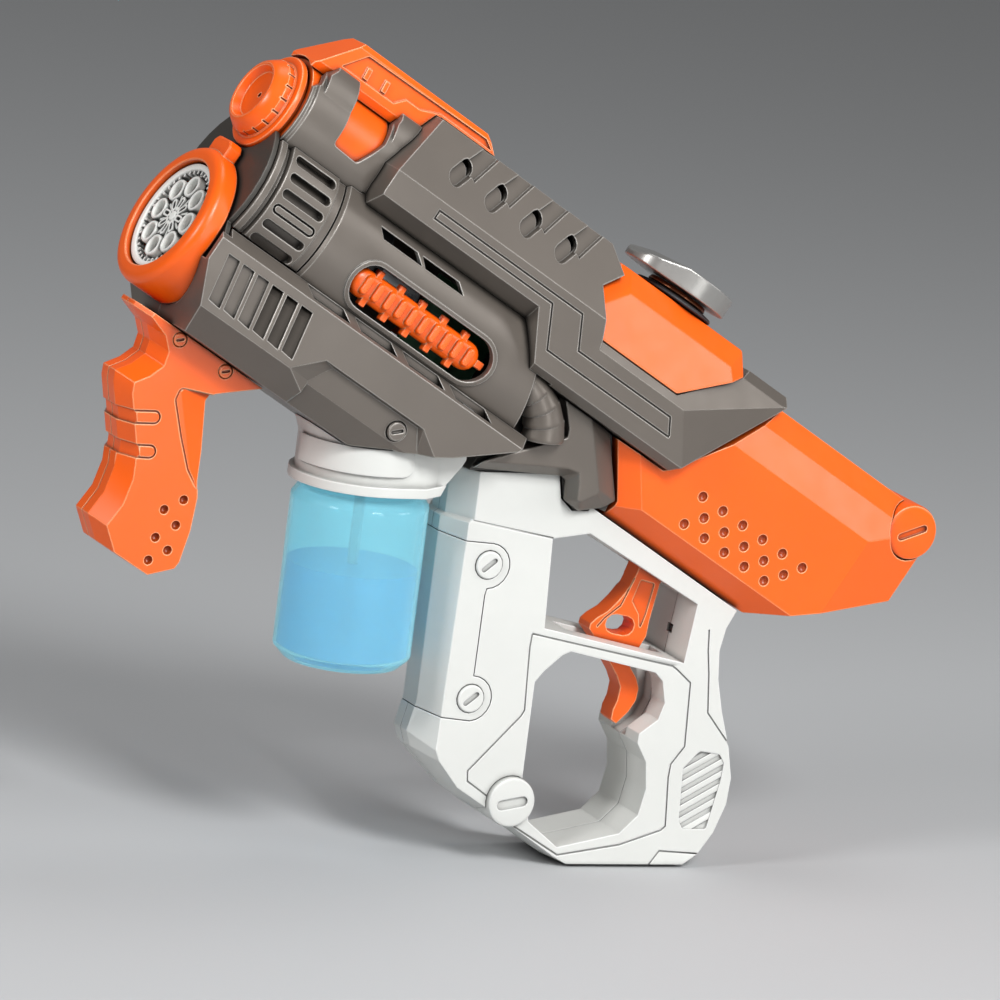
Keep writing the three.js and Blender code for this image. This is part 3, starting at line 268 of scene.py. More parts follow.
def slab(points, z0, z1):
    """A plan outline (along, w) with height from z0 to z1."""
    return swept(points, lambda x, w, z: (x, -w, z), z0, z1)


AXES = {
    "rear": Matrix.Rotation(math.radians(90), 4, "Y"),
    "up": Matrix.Identity(4),
    "left": Matrix.Rotation(math.radians(90), 4, "X"),
}


def lathe(profile, axis, at, steps=96):
    """A (radius, distance) profile turned about the rear, up or left axis through (along, w, up)."""
    x, w, z = at
    turn = Matrix.Translation((x, -w, z)) @ AXES[axis]
    closed = profile[0] == profile[-1]
    points = profile[:-1] if closed else profile
    count = len(points)
    vertices = []
    for k in range(steps):
        a = 2 * math.pi * k / steps
        vertices += [turn @ Vector((r * math.cos(a), r * math.sin(a), h)) for r, h in points]
    faces = []
    for k in range(steps):
        near, far = k * count, ((k + 1) % steps) * count
        for i in range(count if closed else count - 1):
            j = (i + 1) % count
            faces.append((near + i, near + j, far + j, far + i))
    return new_solid(vertices, faces)


def rod(radius, low, high, axis, at, steps=96):
    return lathe([(0, low), (radius, low), (radius, high), (0, high)], axis, at, steps)


def tube(outer, inner, low, high, axis, at, steps=96):
    return lathe([(inner, low), (outer, low), (outer, high), (inner, high), (inner, low)],
                 axis, at, steps)


def loft(rings):
    """Side outlines with equal point counts, at growing w, joined into one solid."""
    count = len(rings[0][1])
    vertices = [(a, -w, b) for w, points in rings for a, b in points]
    faces = [tuple(range(count)), tuple(range(len(vertices) - count, len(vertices)))[::-1]]
    for ring in range(len(rings) - 1):
        near, far = ring * count, (ring + 1) * count
        for i in range(count):
            j = (i + 1) % count
            faces.append((near + i, near + j, far + j, far + i))
    return new_solid(vertices, faces)


def beyond(first, second, third, inside):
    """Everything on one side of the plane through three (s, w, t) points: the side of the fourth."""
    a, b, c, d = (Vector((s, -w, t)) for s, w, t in (first, second, third, inside))
    normal = (b - a).cross(c - a).normalized()
    if (d - a).dot(normal) < 0:
        normal.negate()
    block = slab(rectangle(-150, -150, 150, 150), 0, 300)
    turn = Vector((0, 0, 1)).rotation_difference(normal).to_matrix().to_4x4()
    block.data.transform(Matrix.Translation(a) @ turn)
    return block


def cad_solid(node, place):
    """A copy of a CAD node's mesh in a working frame, its triangles merged into flat faces."""
    mesh = nodes[node].data.copy()
    mesh.materials.clear()
    mesh.transform(place.inverted())
    work = bmesh.new()
    work.from_mesh(mesh)
    bmesh.ops.remove_doubles(work, verts=work.verts, dist=2e-3)
    bmesh.ops.dissolve_degenerate(work, edges=work.edges, dist=1e-3)
    bmesh.ops.dissolve_limit(work, angle_limit=math.radians(0.6), verts=work.verts, edges=work.edges,
                             use_dissolve_boundaries=False, delimit=set())
    work.to_mesh(mesh)
    work.free()
    return new_object("solid", mesh)


def settle(solid):
    """Turns an object's modifiers into its mesh."""
    graph = bpy.context.evaluated_depsgraph_get()
    mesh = bpy.data.meshes.new_from_object(solid.evaluated_get(graph))
    solid.modifiers.clear()
    solid.data = mesh
    return solid


def combine(solid, tools, operation):
    """Changes a solid by a row of tools, which it uses up."""
    for tool in tools:
        modifier = solid.modifiers.new("combine", "BOOLEAN")
        modifier.operation = operation
        modifier.solver = "MANIFOLD"
        modifier.object = tool
    settle(solid)
    for tool in tools:
        bpy.data.objects.remove(tool)
    return solid


def cut(solid, *tools):
    return combine(solid, tools, "DIFFERENCE")


def join(solid, *tools):
    return combine(solid, tools, "UNION")


def common(solid, *tools):
    return combine(solid, tools, "INTERSECT")


def soften(solid, width, angle=30, segments=3):
    """Rounds the edges that turn by more than an angle."""
    work = bmesh.new()
    work.from_mesh(solid.data)
    bmesh.ops.remove_doubles(work, verts=work.verts, dist=0.02)
    bmesh.ops.dissolve_limit(work, angle_limit=math.radians(1), verts=work.verts, edges=work.edges,
                             use_dissolve_boundaries=False, delimit=set())
    work.to_mesh(solid.data)
    work.free()
    modifier = solid.modifiers.new("bevel", "BEVEL")
    modifier.limit_method = "ANGLE"
    modifier.angle_limit = math.radians(angle)
    modifier.width = width
    modifier.segments = segments
    modifier.use_clamp_overlap = True
    return settle(solid)


def copy_of(solid, step=(0, 0, 0)):
    """A copy of a solid, shifted by a step."""
    mesh = solid.data.copy()
    mesh.transform(Matrix.Translation(step))
    return new_object("solid", mesh)


def mirrored(solid):
    """A copy of a solid on the other side of the middle plane."""
    mesh = solid.data.copy()
    mesh.transform(Matrix.Scale(-1, 4, (0, 1, 0)))
    mesh.flip_normals()
    return new_object("solid", mesh)


def turned(solid, degrees, t):
    """Turns a piece about the line w = t = 0 along the barrel and then lifts it by t."""
    turn = Matrix.Rotation(math.radians(degrees), 4, "X")
    solid.data.transform(Matrix.Translation((0, 0, t)) @ turn)
    return solid


def flat_faced(solid, crease):
    """Smooth shading that keeps sharp edges sharp and large flat faces flat."""
    solid.data.shade_smooth()
    solid.data.set_sharp_from_angle(angle=math.radians(crease))
    modifier = solid.modifiers.new("flat faces", "WEIGHTED_NORMAL")
    modifier.keep_sharp = True
    modifier.weight = 80


def finished(solid, name, place, material, stands_for=(), body="housing", crease=32):
    """Names a solid, puts it in the row frame and lets it ride its body."""
    solid.name = name
    solid.data.name = name
    solid.data.transform(place)
    if place.is_negative:
        solid.data.flip_normals()
    solid.data.materials.clear()
    solid.data.materials.append(material)
    flat_faced(solid, crease)
    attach(solid, body)
    if stands_for:
        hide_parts(*stands_for)
    return solid


def finished_pair(solid, name, place, material, crease=32):
    """A left piece and its mirror image, standing for a pair of CAD nodes."""
    other = mirrored(solid)
    finished(solid, f"{name}_left_shell", place, material, [f"{name}_left"], crease=crease)
    finished(other, f"{name}_right_shell", place, material, [f"{name}_right"], crease=crease)


def build_softened(node, place, material, width, angle, segments=2, body="housing", crease=32):
    """A CAD piece that only gets its edges softened."""
    solid = soften(cad_solid(node, place), width, angle, segments)
    finished(solid, f"{node}_moulded", place, material, [node], body, crease)


# ------------------------------------------------------------------ materials
def linear(red, green, blue):
    """An sRGB colour from 0 to 255 as linear values."""
    return tuple((c / 255 / 12.92) if c < 10.3 else ((c / 255 + 0.055) / 1.055) ** 2.4
                 for c in (red, green, blue)) + (1,)


def scaled(colour, factor):
    """A colour made darker or lighter by a factor."""
    return tuple(min(1, c * factor) for c in colour[:3]) + (1,)


class Nodes:
    """Short names for building a material's node tree."""

    def __init__(self, name):
        self.material = bpy.data.materials.new(name)
        self.material.use_nodes = True
        self.tree = self.material.node_tree
        self.shader = self.tree.nodes["Principled BSDF"]

    def add(self, kind, **settings):
        node = self.tree.nodes.new("ShaderNode" + kind)
        for key, value in settings.items():
            setattr(node, key, value)
        return node

    def link(self, source, target):
        self.tree.links.new(source, target)

    def noise(self, scale, detail, stretch=None):
        """Noise over the object's own coordinates, drawn out along the barrel on request."""
        coordinates = self.add("TexCoord").outputs["Object"]
        if stretch:
            turned = self.add("Mapping")
            turned.inputs["Rotation"].default_value = (0, -BARREL_PITCH, 0)
            drawn_out = self.add("Mapping")
            drawn_out.inputs["Scale"].default_value = stretch
            self.link(coordinates, turned.inputs["Vector"])
            self.link(turned.outputs["Vector"], drawn_out.inputs["Vector"])
            coordinates = drawn_out.outputs["Vector"]
        texture = self.add("TexNoise")
        texture.inputs["Scale"].default_value = scale
        texture.inputs["Detail"].default_value = detail
        self.link(coordinates, texture.inputs["Vector"])
        return texture.outputs["Fac"]

    def mapped(self, value, from_low, from_high, to_low, to_high):
        """A value carried from one range to another, and held at its ends."""
        node = self.add("MapRange")
        node.inputs["From Min"].default_value = from_low
        node.inputs["From Max"].default_value = from_high
        node.inputs["To Min"].default_value = to_low
        node.inputs["To Max"].default_value = to_high
        self.link(value, node.inputs["Value"])
        return node.outputs["Result"]

    def spread(self, noise, low, high):
        """The middle of a noise, from 0.3 to 0.7, spread over low to high."""
        return self.mapped(noise, 0.3, 0.7, low, high)

    def edges(self, radius):
        """The rounded normal, and a value that is 1 along edges and 0 on flat ground."""
        bevel = self.add("Bevel", samples=6)
        bevel.inputs["Radius"].default_value = radius
        dot = self.add("VectorMath", operation="DOT_PRODUCT")
        self.link(bevel.outputs["Normal"], dot.inputs[0])
        self.link(self.add("NewGeometry").outputs["Normal"], dot.inputs[1])
        return bevel.outputs["Normal"], self.mapped(dot.outputs["Value"], 0.9, 0.985, 1, 0)

    def painted_hollow_shade(self, distance):
        """Painted shade: 1 deep in grooves, dimples and seams, where light is shut out, 0 on open ground.
        """
        shade = self.add("AmbientOcclusion", samples=8)
        shade.inputs["Distance"].default_value = distance
        return self.mapped(shade.outputs["AO"], 0.4, 0.93, 1, 0)

    def mixed(self, factor, first, second):
        """The first colour where the factor is 0 and the second where it is 1."""
        node = self.add("Mix", data_type="RGBA")
        self.link(factor, node.inputs["Factor"])
        for value, socket in ((first, node.inputs[6]), (second, node.inputs[7])):
            if isinstance(value, tuple):
                socket.default_value = value
            else:
                self.link(value, socket)
        return node.outputs[2]


# width of the paler edge band, which is partly wear and partly a painted highlight along edges
EDGE_WEAR_AND_HIGHLIGHT_WIDTH = 0.0007
GRAIN_HEIGHT = 8e-6


def plastic(name, body, worn_and_highlit, roughness, streaked=False, metallic=0.0, mottle=0.93, hollow_shade_reach=0.0028,
            shade=0.16):
    """Moulded plastic: mottled colour, paler edges that are partly wear and partly painted highlight,
    painted shade in hollows, a fine grain, uneven gloss.
    """
    tree = Nodes(name)
    patches = tree.noise(38, 4)
    streaks = tree.noise(60, 3, (0.06, 1, 1)) if streaked else tree.noise(160, 3)
    rounded_normal, edge = tree.edges(EDGE_WEAR_AND_HIGHLIGHT_WIDTH)
    darker = scaled(body, mottle)
    base = tree.mixed(tree.spread(patches, 0, 1), darker, scaled(body, 1 + (1 - mottle) * 0.5))
    base = tree.mixed(tree.spread(streaks, 0, 0.5), base, darker)
    # paler edges: partly wear, partly a painted highlight along every edge
    base = tree.mixed(edge, base, worn_and_highlit)
    # painted shade: grooves, dimples and seams darkened towards the body colour scaled by shade
    base = tree.mixed(tree.painted_hollow_shade(hollow_shade_reach), base, scaled(body, shade))
    tree.link(base, tree.shader.inputs["Base Color"])
    gloss = tree.spread(tree.noise(120, 3), roughness - 0.03, roughness + 0.05)
    tree.link(gloss, tree.shader.inputs["Roughness"])
    bump = tree.add("Bump")
    bump.inputs["Strength"].default_value = 0.3
    bump.inputs["Distance"].default_value = GRAIN_HEIGHT
    tree.link(streaks if streaked else tree.noise(900, 2), bump.inputs["Height"])
    tree.link(rounded_normal, bump.inputs["Normal"])
    tree.link(bump.outputs["Normal"], tree.shader.inputs["Normal"])
    tree.shader.inputs["Metallic"].default_value = metallic
    return tree.material


ORANGE = plastic("orange_moulding", linear(250, 98, 12), linear(255, 206, 160), 0.31, mottle=0.95,
                 shade=0.22)
GREY = plastic("gunmetal_moulding", linear(108, 101, 94), linear(190, 186, 180), 0.36,
               streaked=True, metallic=0.35)
DARK = plastic("dark_moulding", linear(60, 57, 52), linear(105, 100, 95), 0.5)
WHITE = plastic("white_moulding", linear(212, 213, 209), linear(240, 240, 239), 0.36, mottle=0.97,
                shade=0.38)
# the wand's gaps get a deep painted shade
PALE = plastic("wand_moulding", linear(242, 243, 238), linear(250, 250, 248), 0.4, mottle=0.97,
               hollow_shade_reach=0.0022, shade=0.1)
BLACK = plastic("black_moulding", linear(26, 26, 28), linear(70, 70, 72), 0.45)
SILVER = plastic("silver_paint", linear(150, 149, 146), linear(205, 203, 200), 0.3, metallic=0.6)
COPPER = plastic("copper_paint", linear(186, 100, 60), linear(225, 160, 120), 0.32, metallic=0.8)
STEEL = plastic("rolled_steel", linear(180, 182, 186), linear(215, 216, 220), 0.28, metallic=1.0)
BOARD = plastic("board_lacquer", linear(34, 96, 58), linear(90, 150, 110), 0.5)


def clear_plastic(name, colour, roughness, transmission=0.8, ior=1.3, painted_glow=0.0):
    """See-through plastic or liquid, slightly uneven; the glow is painted light, an emission standing for
    the light inside.
    """
    tree = Nodes(name)
    base = tree.mixed(tree.spread(tree.noise(30, 2), 0, 1), colour, scaled(colour, 0.94))
    tree.link(base, tree.shader.inputs["Base Color"])
    gloss = tree.spread(tree.noise(120, 3), roughness, roughness + 0.03)
    tree.link(gloss, tree.shader.inputs["Roughness"])
    tree.shader.inputs["Transmission Weight"].default_value = transmission
    tree.shader.inputs["IOR"].default_value = ior
    tree.shader.inputs["Emission Color"].default_value = colour
    tree.shader.inputs["Emission Strength"].default_value = painted_glow
    bump = tree.add("Bump")
    bump.inputs["Strength"].default_value = 0.15
    bump.inputs["Distance"].default_value = 0.0002
    tree.link(tree.noise(30, 1), bump.inputs["Height"])
    tree.link(bump.outputs["Normal"], tree.shader.inputs["Normal"])
    return tree.material


# the bottle and the soap solution both glow with painted light
CLEAR_BLUE = clear_plastic("clear_blue_bottle", linear(180, 240, 252), 0.05, painted_glow=0.08)
LIQUID = clear_plastic("soap_solution", linear(72, 176, 226), 0.02, transmission=0.55, ior=1.12,
                       painted_glow=0.09)
CLEAR = clear_plastic("clear_tubing", linear(226, 236, 238), 0.1)

MATERIAL_OF_SLOT = {
    "orange_plastic": ORANGE, "grey_plastic": GREY, "dark_plastic": DARK, "white_plastic": WHITE,
    "clear_blue_plastic": CLEAR_BLUE, "black_plastic": BLACK, "motor_steel": STEEL,
    "copper_trim": COPPER, "silver_trim": SILVER, "board_green": BOARD, "clear_tube": CLEAR,
    "battery_cell": BLACK,
}


# ------------------------------------------------------------------ small shared features
def dimple(along, up, w, radius=1.7):
    """A cutter for a round dimple in a side face at w."""
    return lathe([(0, w - 1.7), (radius * 0.45, w - 1.5), (radius * 0.85, w - 1.0), (radius, w - 0.2),
                  (radius, w + 0.4), (0, w + 0.4)], "left", (along, 0, up), 24)


def groove(points, w, width, depth, closed=False):
    """A cutter for a line pressed into a side face at w."""
    if closed:
        ring = counter_clockwise(points)
        outer = plate(offset(ring, width / 2), w - depth, w + 3)
        inner = plate(offset(ring, -width / 2), w - depth - 1, w + 4)
        return cut(outer, inner)
    return plate(stroke(points, width), w - depth, w + 3)


SCREW_SLOT_DEGREES = 40


def slotted_screw(along, up, radius, foot, face, chamfer, slot, steps):
    """A screw head from w = foot to w = face, with a (length, width, depth) slot across it."""
    inset, drop = chamfer
    length, width, depth = slot
    head = lathe([(0, foot), (radius, foot), (radius, face - drop), (radius - inset, face), (0, face)],
                 "left", (along, 0, up), steps)
    ring = oblong(along, up, length, width, SCREW_SLOT_DEGREES, 6)
    return cut(head, plate(ring, face - depth, face + 3))


def cross_pin(along, up, radius, face, edge, slot, degrees, slot_up=0):
    """A pin right across the object, its ends edged and slotted alike."""
    inset, lip, drop, side = edge
    length, width, depth = slot
    profile = [(0, -face), (radius - inset, -face), (radius - lip, -face + drop), (radius, -face + side),
               (radius, face - side), (radius - lip, face - drop), (radius - inset, face), (0, face)]
    pin = lathe(profile, "left", (along, 0, up))
    ring = oblong(along, up + slot_up, length, width, degrees, 6)
    return cut(pin, plate(ring, face - depth, face + 3), plate(ring, -face - 3, -face + depth))


# ------------------------------------------------------------------ stock
STOCK_DOT_PITCH = 9.15
STOCK_DOT_ROWS = ((37.7, 49.3, 6), (32.3, 54.1, 5), (27.0, 49.2, 5))      # height, first dot, number
STOCK_FACE = 22
STOCK_PIN = (125.8, 68.5)
STOCK_REAR_FOLD = ((108.2, 22.2, 66.5), (111.8, 22.2, 37.0), (133.3, 16.8, 53.1))


def build_stock():
    """Stock with a folded rear facet and three rows of dimples on each side."""
    outside = beyond(*STOCK_REAR_FOLD, inside=(133, 40, 53))
    half = soften(cut(cad_solid("stock_left", BARREL), outside), 0.7, angle=12)
    dots = [dimple(first + STOCK_DOT_PITCH * i, t, STOCK_FACE)
            for t, first, count in STOCK_DOT_ROWS for i in range(count)]
    finished_pair(cut(half, *dots), "stock", BARREL, ORANGE, crease=14)


def build_stock_pin():
    """The wide pin through the stock, slotted at both ends."""
    pin = cross_pin(*STOCK_PIN, 9.3, 16.6, (1.6, 0.4, 0.5, 1.6), (11, 2.4, 1.1), 50)
    finished(pin, "stock_pin_turned", BARREL, ORANGE, ["stock_pin"])


# ------------------------------------------------------------------ foregrip
FOREGRIP_FACE = 12
FOREGRIP_DOTS = ((-100.7, -58), (-104.5, -64), (-98, -66), (-101.6, -72.8), (-95.5, -74), (-99.2, -80))
FOREGRIP_SCREWS = {"front": (-133.2, -17.2), "rear": (-113.8, -17.2)}

# centre lines of the two pressed finger bands, from in front of the grip to their round ends
FINGER_BANDS = (
    ((-165, -60.9), (-145, -51.5), (-135, -47.4), (-125.6, -41.9)),
    ((-165, -74.0), (-145, -63.0), (-130, -57.0), (-120.2, -51.6)),
)
FINGER_BAND_WIDTH = 4.6
FINGER_BAND_LINE = 0.6
THUMB_REST = ((-108.0, -24.0), (-123.5, -29.6), (-122.8, -33.5), (-114.0, -42.0), (-105.5, -49.4),
              (-99.4, -52.6), (-90.0, -50.0), (-90.0, -24.0))
THUMB_REST_LEAN = ((-123.5, 12, -29.6), (-103, 12, -51), (-100, 7, -26))


def round_ended(points, width, low, high):
    """A line of a given width with a round end, as a plate."""
    end = circle(*points[-1], width / 2, 24)
    return join(plate(stroke(points, width), low, high), plate(end, low, high))


def finger_band(grip, points):
    """A band outlined on the side of the grip and sunk into the faces that look forward."""
    face = FOREGRIP_FACE
    whole = round_ended(points, FINGER_BAND_WIDTH, -1, face + 3)
    inner = round_ended(points, FINGER_BAND_WIDTH - 2 * FINGER_BAND_LINE, -2, face + 4)
    skin = plate(rectangle(-170, -90, -60, 0), face - 0.6, face + 2)
    sunk = cut(copy_of(whole), copy_of(grip, (1.1, 0, 0)))
    return join(cut(common(whole, skin), inner), sunk)


def build_foregrip():
    """Foregrip with dimples, finger bands, a leaning thumb rest and two screws."""
    half = soften(cad_solid("foregrip_left", BARREL), 0.6, angle=20)
    tools = [dimple(s, t, FOREGRIP_FACE, 1.5) for s, t in FOREGRIP_DOTS]
    tools += [finger_band(half, points) for points in FINGER_BANDS]
    thumb = counter_clockwise(rounded(THUMB_REST, 1.6))
    tools.append(groove(thumb, FOREGRIP_FACE, 0.6, 0.4, closed=True))
    leaning = beyond(*THUMB_REST_LEAN, inside=(-100, 40, -26))
    tools.append(common(plate(thumb, 2, FOREGRIP_FACE + 3), leaning))
    finished_pair(cut(half, *tools), "foregrip", BARREL, ORANGE)
    for place, (s, t) in FOREGRIP_SCREWS.items():
        screw = slotted_screw(s, t, 2.25, 9.9, 12.3, (0.35, 0.4), (2.9, 0.9, 0.7), 32)
        finished(screw, f"foregrip_screw_{place}_turned", BARREL, ORANGE, [f"foregrip_screw_{place}"])


# ------------------------------------------------------------------ grip frame
GRIP_FACE = 15
GRIP_PIN = (9.8, -96.5)
COVER_SCREWS = {"top": (-8.4, -18.0), "foot": (-8.9, -62.4)}
GRIP_LINES = (
    ((10.3, -40.5), (10.0, -45), (11.0, -66), (10.0, -68), (-6.5, -86.5), (-6.2, -90), (2.6, -95.6)),
    ((10.3, -40.5), (62.5, -50.5), (64.2, -51.6), (69.7, -56), (70.7, -77.5), (66.5, -83.5),
     (66.2, -88), (67.5, -104.5), (66, -106), (51.5, -111), (29.5, -114.6), (12.5, -105)),
    ((74, -38), (74.6, -45), (76, -53), (77.5, -66), (88, -78)),
    ((-18.5, -3.1), (13.4, -8.6)),
    ((62, -119.5), (66.5, -113), (82, -113.9)),
)
HATCH = ((76.5, -79), (84, -80), (86.0, -83), (85.6, -89), (82.5, -105.5), (74, -105.5), (72.2, -103),
         (71.2, -85))
HATCH_RIBS = 9
HATCH_RIB_PITCH = 4.3


def build_grip():
    """Handle half with pressed lines and a pocket of slanted ribs."""
    half = soften(cad_solid("grip_left", UPRIGHT), 1.0, angle=20)
    tools = [groove(line, GRIP_FACE, 0.6, 0.5) for line in GRIP_LINES]
    pocket = plate(rounded(HATCH, 1.0), GRIP_FACE - 0.9, GRIP_FACE + 3)
    field = offset(counter_clockwise(HATCH), 1.5)
    ribs = []
    for i in range(HATCH_RIBS):
        z = -112 + HATCH_RIB_PITCH * i
        slant = [(66, z), (92, z + 15), (92, z + 17.2), (66, z + 2.2)]
        rib = plate(slant, GRIP_FACE - 1.4, GRIP_FACE - 0.25)
        ribs.append(common(rib, plate(field, GRIP_FACE - 3, GRIP_FACE + 3)))
    half = join(cut(half, *tools, pocket), *ribs)
    finished_pair(half, "grip", UPRIGHT, WHITE)


def build_grip_fittings():
    """The pin through the foot of the handle, the battery cover and its screws."""
    pin = cross_pin(*GRIP_PIN, 8.3, 17.4, (1.2, 0.3, 0.4, 1.3), (11, 3.4, 0.9), 11, slot_up=-0.2)
    finished(pin, "grip_pin_turned", UPRIGHT, WHITE, ["grip_pin"])
    build_softened("battery_cover", UPRIGHT, WHITE, 0.5, 25, segments=3)
    for place, (x, z) in COVER_SCREWS.items():
        screw = slotted_screw(x, z, 4.6, 14.3, 15.8, (0.4, 0.5), (6.4, 1.7, 0.8), 48)
        finished(screw, f"cover_screw_{place}_turned", UPRIGHT, WHITE, [f"cover_screw_{place}"])


TRIGGER_FACE = 4.2
TRIGGER_PANEL = ((52.4, -24.4), (57.6, -25.6), (55.8, -36.0), (54.2, -41.6), (53.2, -36.0), (50.2, -31.6))
TRIGGER_RIM = ((50.0, -24.0), (46.2, -33.2), (41.0, -37.4), (38.6, -40.4))


def build_trigger():
    """Lever with a sunk panel behind its hole and a line that follows its front rim."""
    lever = soften(cad_solid("trigger", UPRIGHT), 0.7, angle=35)
    panel = counter_clockwise(rounded(TRIGGER_PANEL, 0.8))
    sunk = plate(panel, TRIGGER_FACE - 0.5, TRIGGER_FACE + 3)
    rim = groove(TRIGGER_RIM, TRIGGER_FACE, 0.5, 0.4)
    lever = cut(lever, sunk, rim, mirrored(sunk), mirrored(rim))
    finished(lever, "trigger_moulded", UPRIGHT, ORANGE, ["trigger"], body="trigger")


# ------------------------------------------------------------------ round barrel
BARREL_T = 33
BARREL_RADIUS = 27.5
SHROUD_RADIUS = 26
SLEEVE_T = 60.6
SLEEVE_RADIUS = 20
MUZZLE_T = 13.8
GAP = 0.3


def half_space():
    """Everything on the right of the middle plane and a sliver past it, to halve a turned piece."""
    return bar(rectangle(-80, -60, 0.15, 160), -260, 220)


def lower_armour_room():
    """What the round parts leave free for the lower armour."""
    section = [(-60, -14.5), (22, -14.5), (30, -5.4), (30, 16), (24, 20.4), (-60, 20.4)]
    return bar(offset(section, GAP), -155, -15)


def rail_room():
    """What the upper parts leave free for the long armour's leaning front."""
    section = [(-20, 50), (20.5, 50.9), (30, 56.1), (30, 65.2), (13, 87.4), (-20, 87.4)]
    side = [(-110.5, 50), (-60, 50), (-60, 87.4), (-100.4, 87.4), (-112, 65.2), (-112, 57.3)]
    return common(bar(offset(section, GAP), -120, -70), plate(offset(side, GAP), -1, 40))


UPPER_VENTS = (-102.6, -84.5)                             # front ends of the vents, along s
LOWER_VENTS = [-113.7 + 20.55 * i for i in range(4)]
WINDOW = oblong(-73.6, 29.9, 58.5, 15.2, 0, 12)
WINDOW_RIM = 1.5


def build_barrel_shell():
    """Round barrel with a rimmed oval window, two upper vents and four lower ones."""
    at = (0, 0, BARREL_T)
    r = BARREL_RADIUS
    shell = lathe([(r - 2.2, -118), (r - 1.0, -118), (r, -117), (r, -23.6), (r - 0.6, -23), (r - 2.2, -23),
                   (r - 2.2, -118)], "rear", at, 160)
    rear = plate([(-30.2, 62), (-30.2, 41), (-23.6, 20), (-46, 2), (-10, 2), (-10, 62)], -1, 40)
    sleeve_room = rod(SLEEVE_RADIUS + GAP, -160, -112.7, "rear", (0, 0, SLEEVE_T))
    vents = [[(s, 47.9), (s + 15.8, 47.9), (s + 19, 45), (s + 2.4, 45)] for s in UPPER_VENTS]
    vents += [[(s, 19.6), (s + 15.4, 19.6), (s + 18.4, 16.9), (s + 2.7, 16.9)] for s in LOWER_VENTS]
    shell = cut(shell, half_space(), rear, sleeve_room, *[plate(vent, 12, 40) for vent in vents])
    rim = cut(tube(r + 0.5, r - 1.4, -110, -38, "rear", at, 160), plate(WINDOW, 10, 40), half_space())
    rim = common(rim, plate(offset(WINDOW, WINDOW_RIM), 10, 40))
    shell = join(cut(shell, plate(WINDOW, 15, 40)), rim)
    finished_pair(shell, "barrel_shell", BARREL, GREY)


CORE_T = 30
# middles of what sits on the core, along s
CORE_BEADS = [-96.9 + 4.9 * i for i in range(10)]
CORE_NUBS = [-93.9 + 9.3 * i for i in range(5)]
CORE_END_NUBS = (-103.1, -46.9)


def cushion(s, length, width, degrees, w, height, shrink, layers, steps):
    """A low cushion on the core: an oval outline that shrinks as it rises from w."""
    rings = []
    for k in range(layers + 1):
        a = math.radians(90 * k / layers)
        inset = (1 - math.cos(a)) * width * shrink
        outline = oblong(s, CORE_T, length - 2 * inset, width - 2 * inset, degrees, steps)
        rings.append((w + height * math.sin(a), outline))
    return loft(rings)


def nub(s, half_width, reach, w0, w1, softness):
    """A short bar across the core, as far above its middle as below."""
    outline = rectangle(s - half_width, CORE_T - reach, s + half_width, CORE_T + reach)
    return soften(plate(outline, w0, w1), softness)


def build_ribbed_core():
    """Orange core in the oval window: a rounded bar with oval beads and small end nubs."""
    core = cushion(-75, 54.5, 9.6, 0, 22.9, 3.0, 0.36, 5, 10)
    beads = [cushion(s, 6.9, 2.9, 90, 25.2, 2.2, 0.3, 4, 6) for s in CORE_BEADS]
    nubs = [nub(s, 1.15, 6.6, 22.0, 25.2, 0.5) for s in CORE_NUBS]
    nubs += [nub(s, 1.6, 1.3, 21.8, 24.6, 0.4) for s in CORE_END_NUBS]
    finished_pair(join(core, *beads, *nubs), "ribbed_core", BARREL, ORANGE, crease=50)


SHROUD_SLOTS = 6
SHROUD_SLOT_S = -131.1
SHROUD_TOP_SLOT_T = 49.6
SHROUD_SLOT_PITCH = 5.5
OUTLINED_SLOT = 3


def shroud_slot(index):
    """A cutter for one slot of the shroud: a sunk oval, or only its outline."""
    t = SHROUD_TOP_SLOT_T - SHROUD_SLOT_PITCH * index
    if index != OUTLINED_SLOT:
        return plate(oblong(SHROUD_SLOT_S, t, 16.8, 2.9, 0, 8), 8, 30)
    ring = oblong(SHROUD_SLOT_S, t, 16.4, 2.7, 0, 8)
    return cut(plate(offset(ring, 0.35), SHROUD_RADIUS - 3, 30),
               plate(offset(ring, -0.35), SHROUD_RADIUS - 4, 31))


def build_shroud():
    """Front shroud: a stepped sleeve with a raised slotted panel."""
    at = (0, 0, BARREL_T)
    r = SHROUD_RADIUS
    outer = [
        (r - 3.2, -146), (r - 0.2, -146), (r + 0.6, -145.6), (r + 0.6, -143.4), (r - 0.7, -142.6),
        (r - 0.7, -141.6), (r + 1.1, -141.0), (r + 1.1, -121.8), (r + 0.4, -121.2), (r + 0.4, -118.6),
        (r, -118.3), (r - 3.2, -118.3), (r - 3.2, -146),
    ]
    slots = [cut(shroud_slot(i), rod(r - 1.8, -145, -118, "rear", at)) for i in range(SHROUD_SLOTS)]
    sleeve_room = rod(SLEEVE_RADIUS + GAP, -160, -100, "rear", (0, 0, SLEEVE_T))
    shroud = cut(lathe(outer, "rear", at, 160), half_space(), sleeve_room, lower_armour_room(), *slots)
    finished_pair(shroud, "front_shroud", BARREL, GREY)


BRIDGE_HALF_WIDTH = 9.2
# (radius, degrees) points of the thick lobe's outer face, growing from the left towards the top
SLEEVE_LOBE = ((19.6, 30), (20.6, 38), (21.7, 46), (22.6, 54), (23.3, 61), (23.4, 64.5))


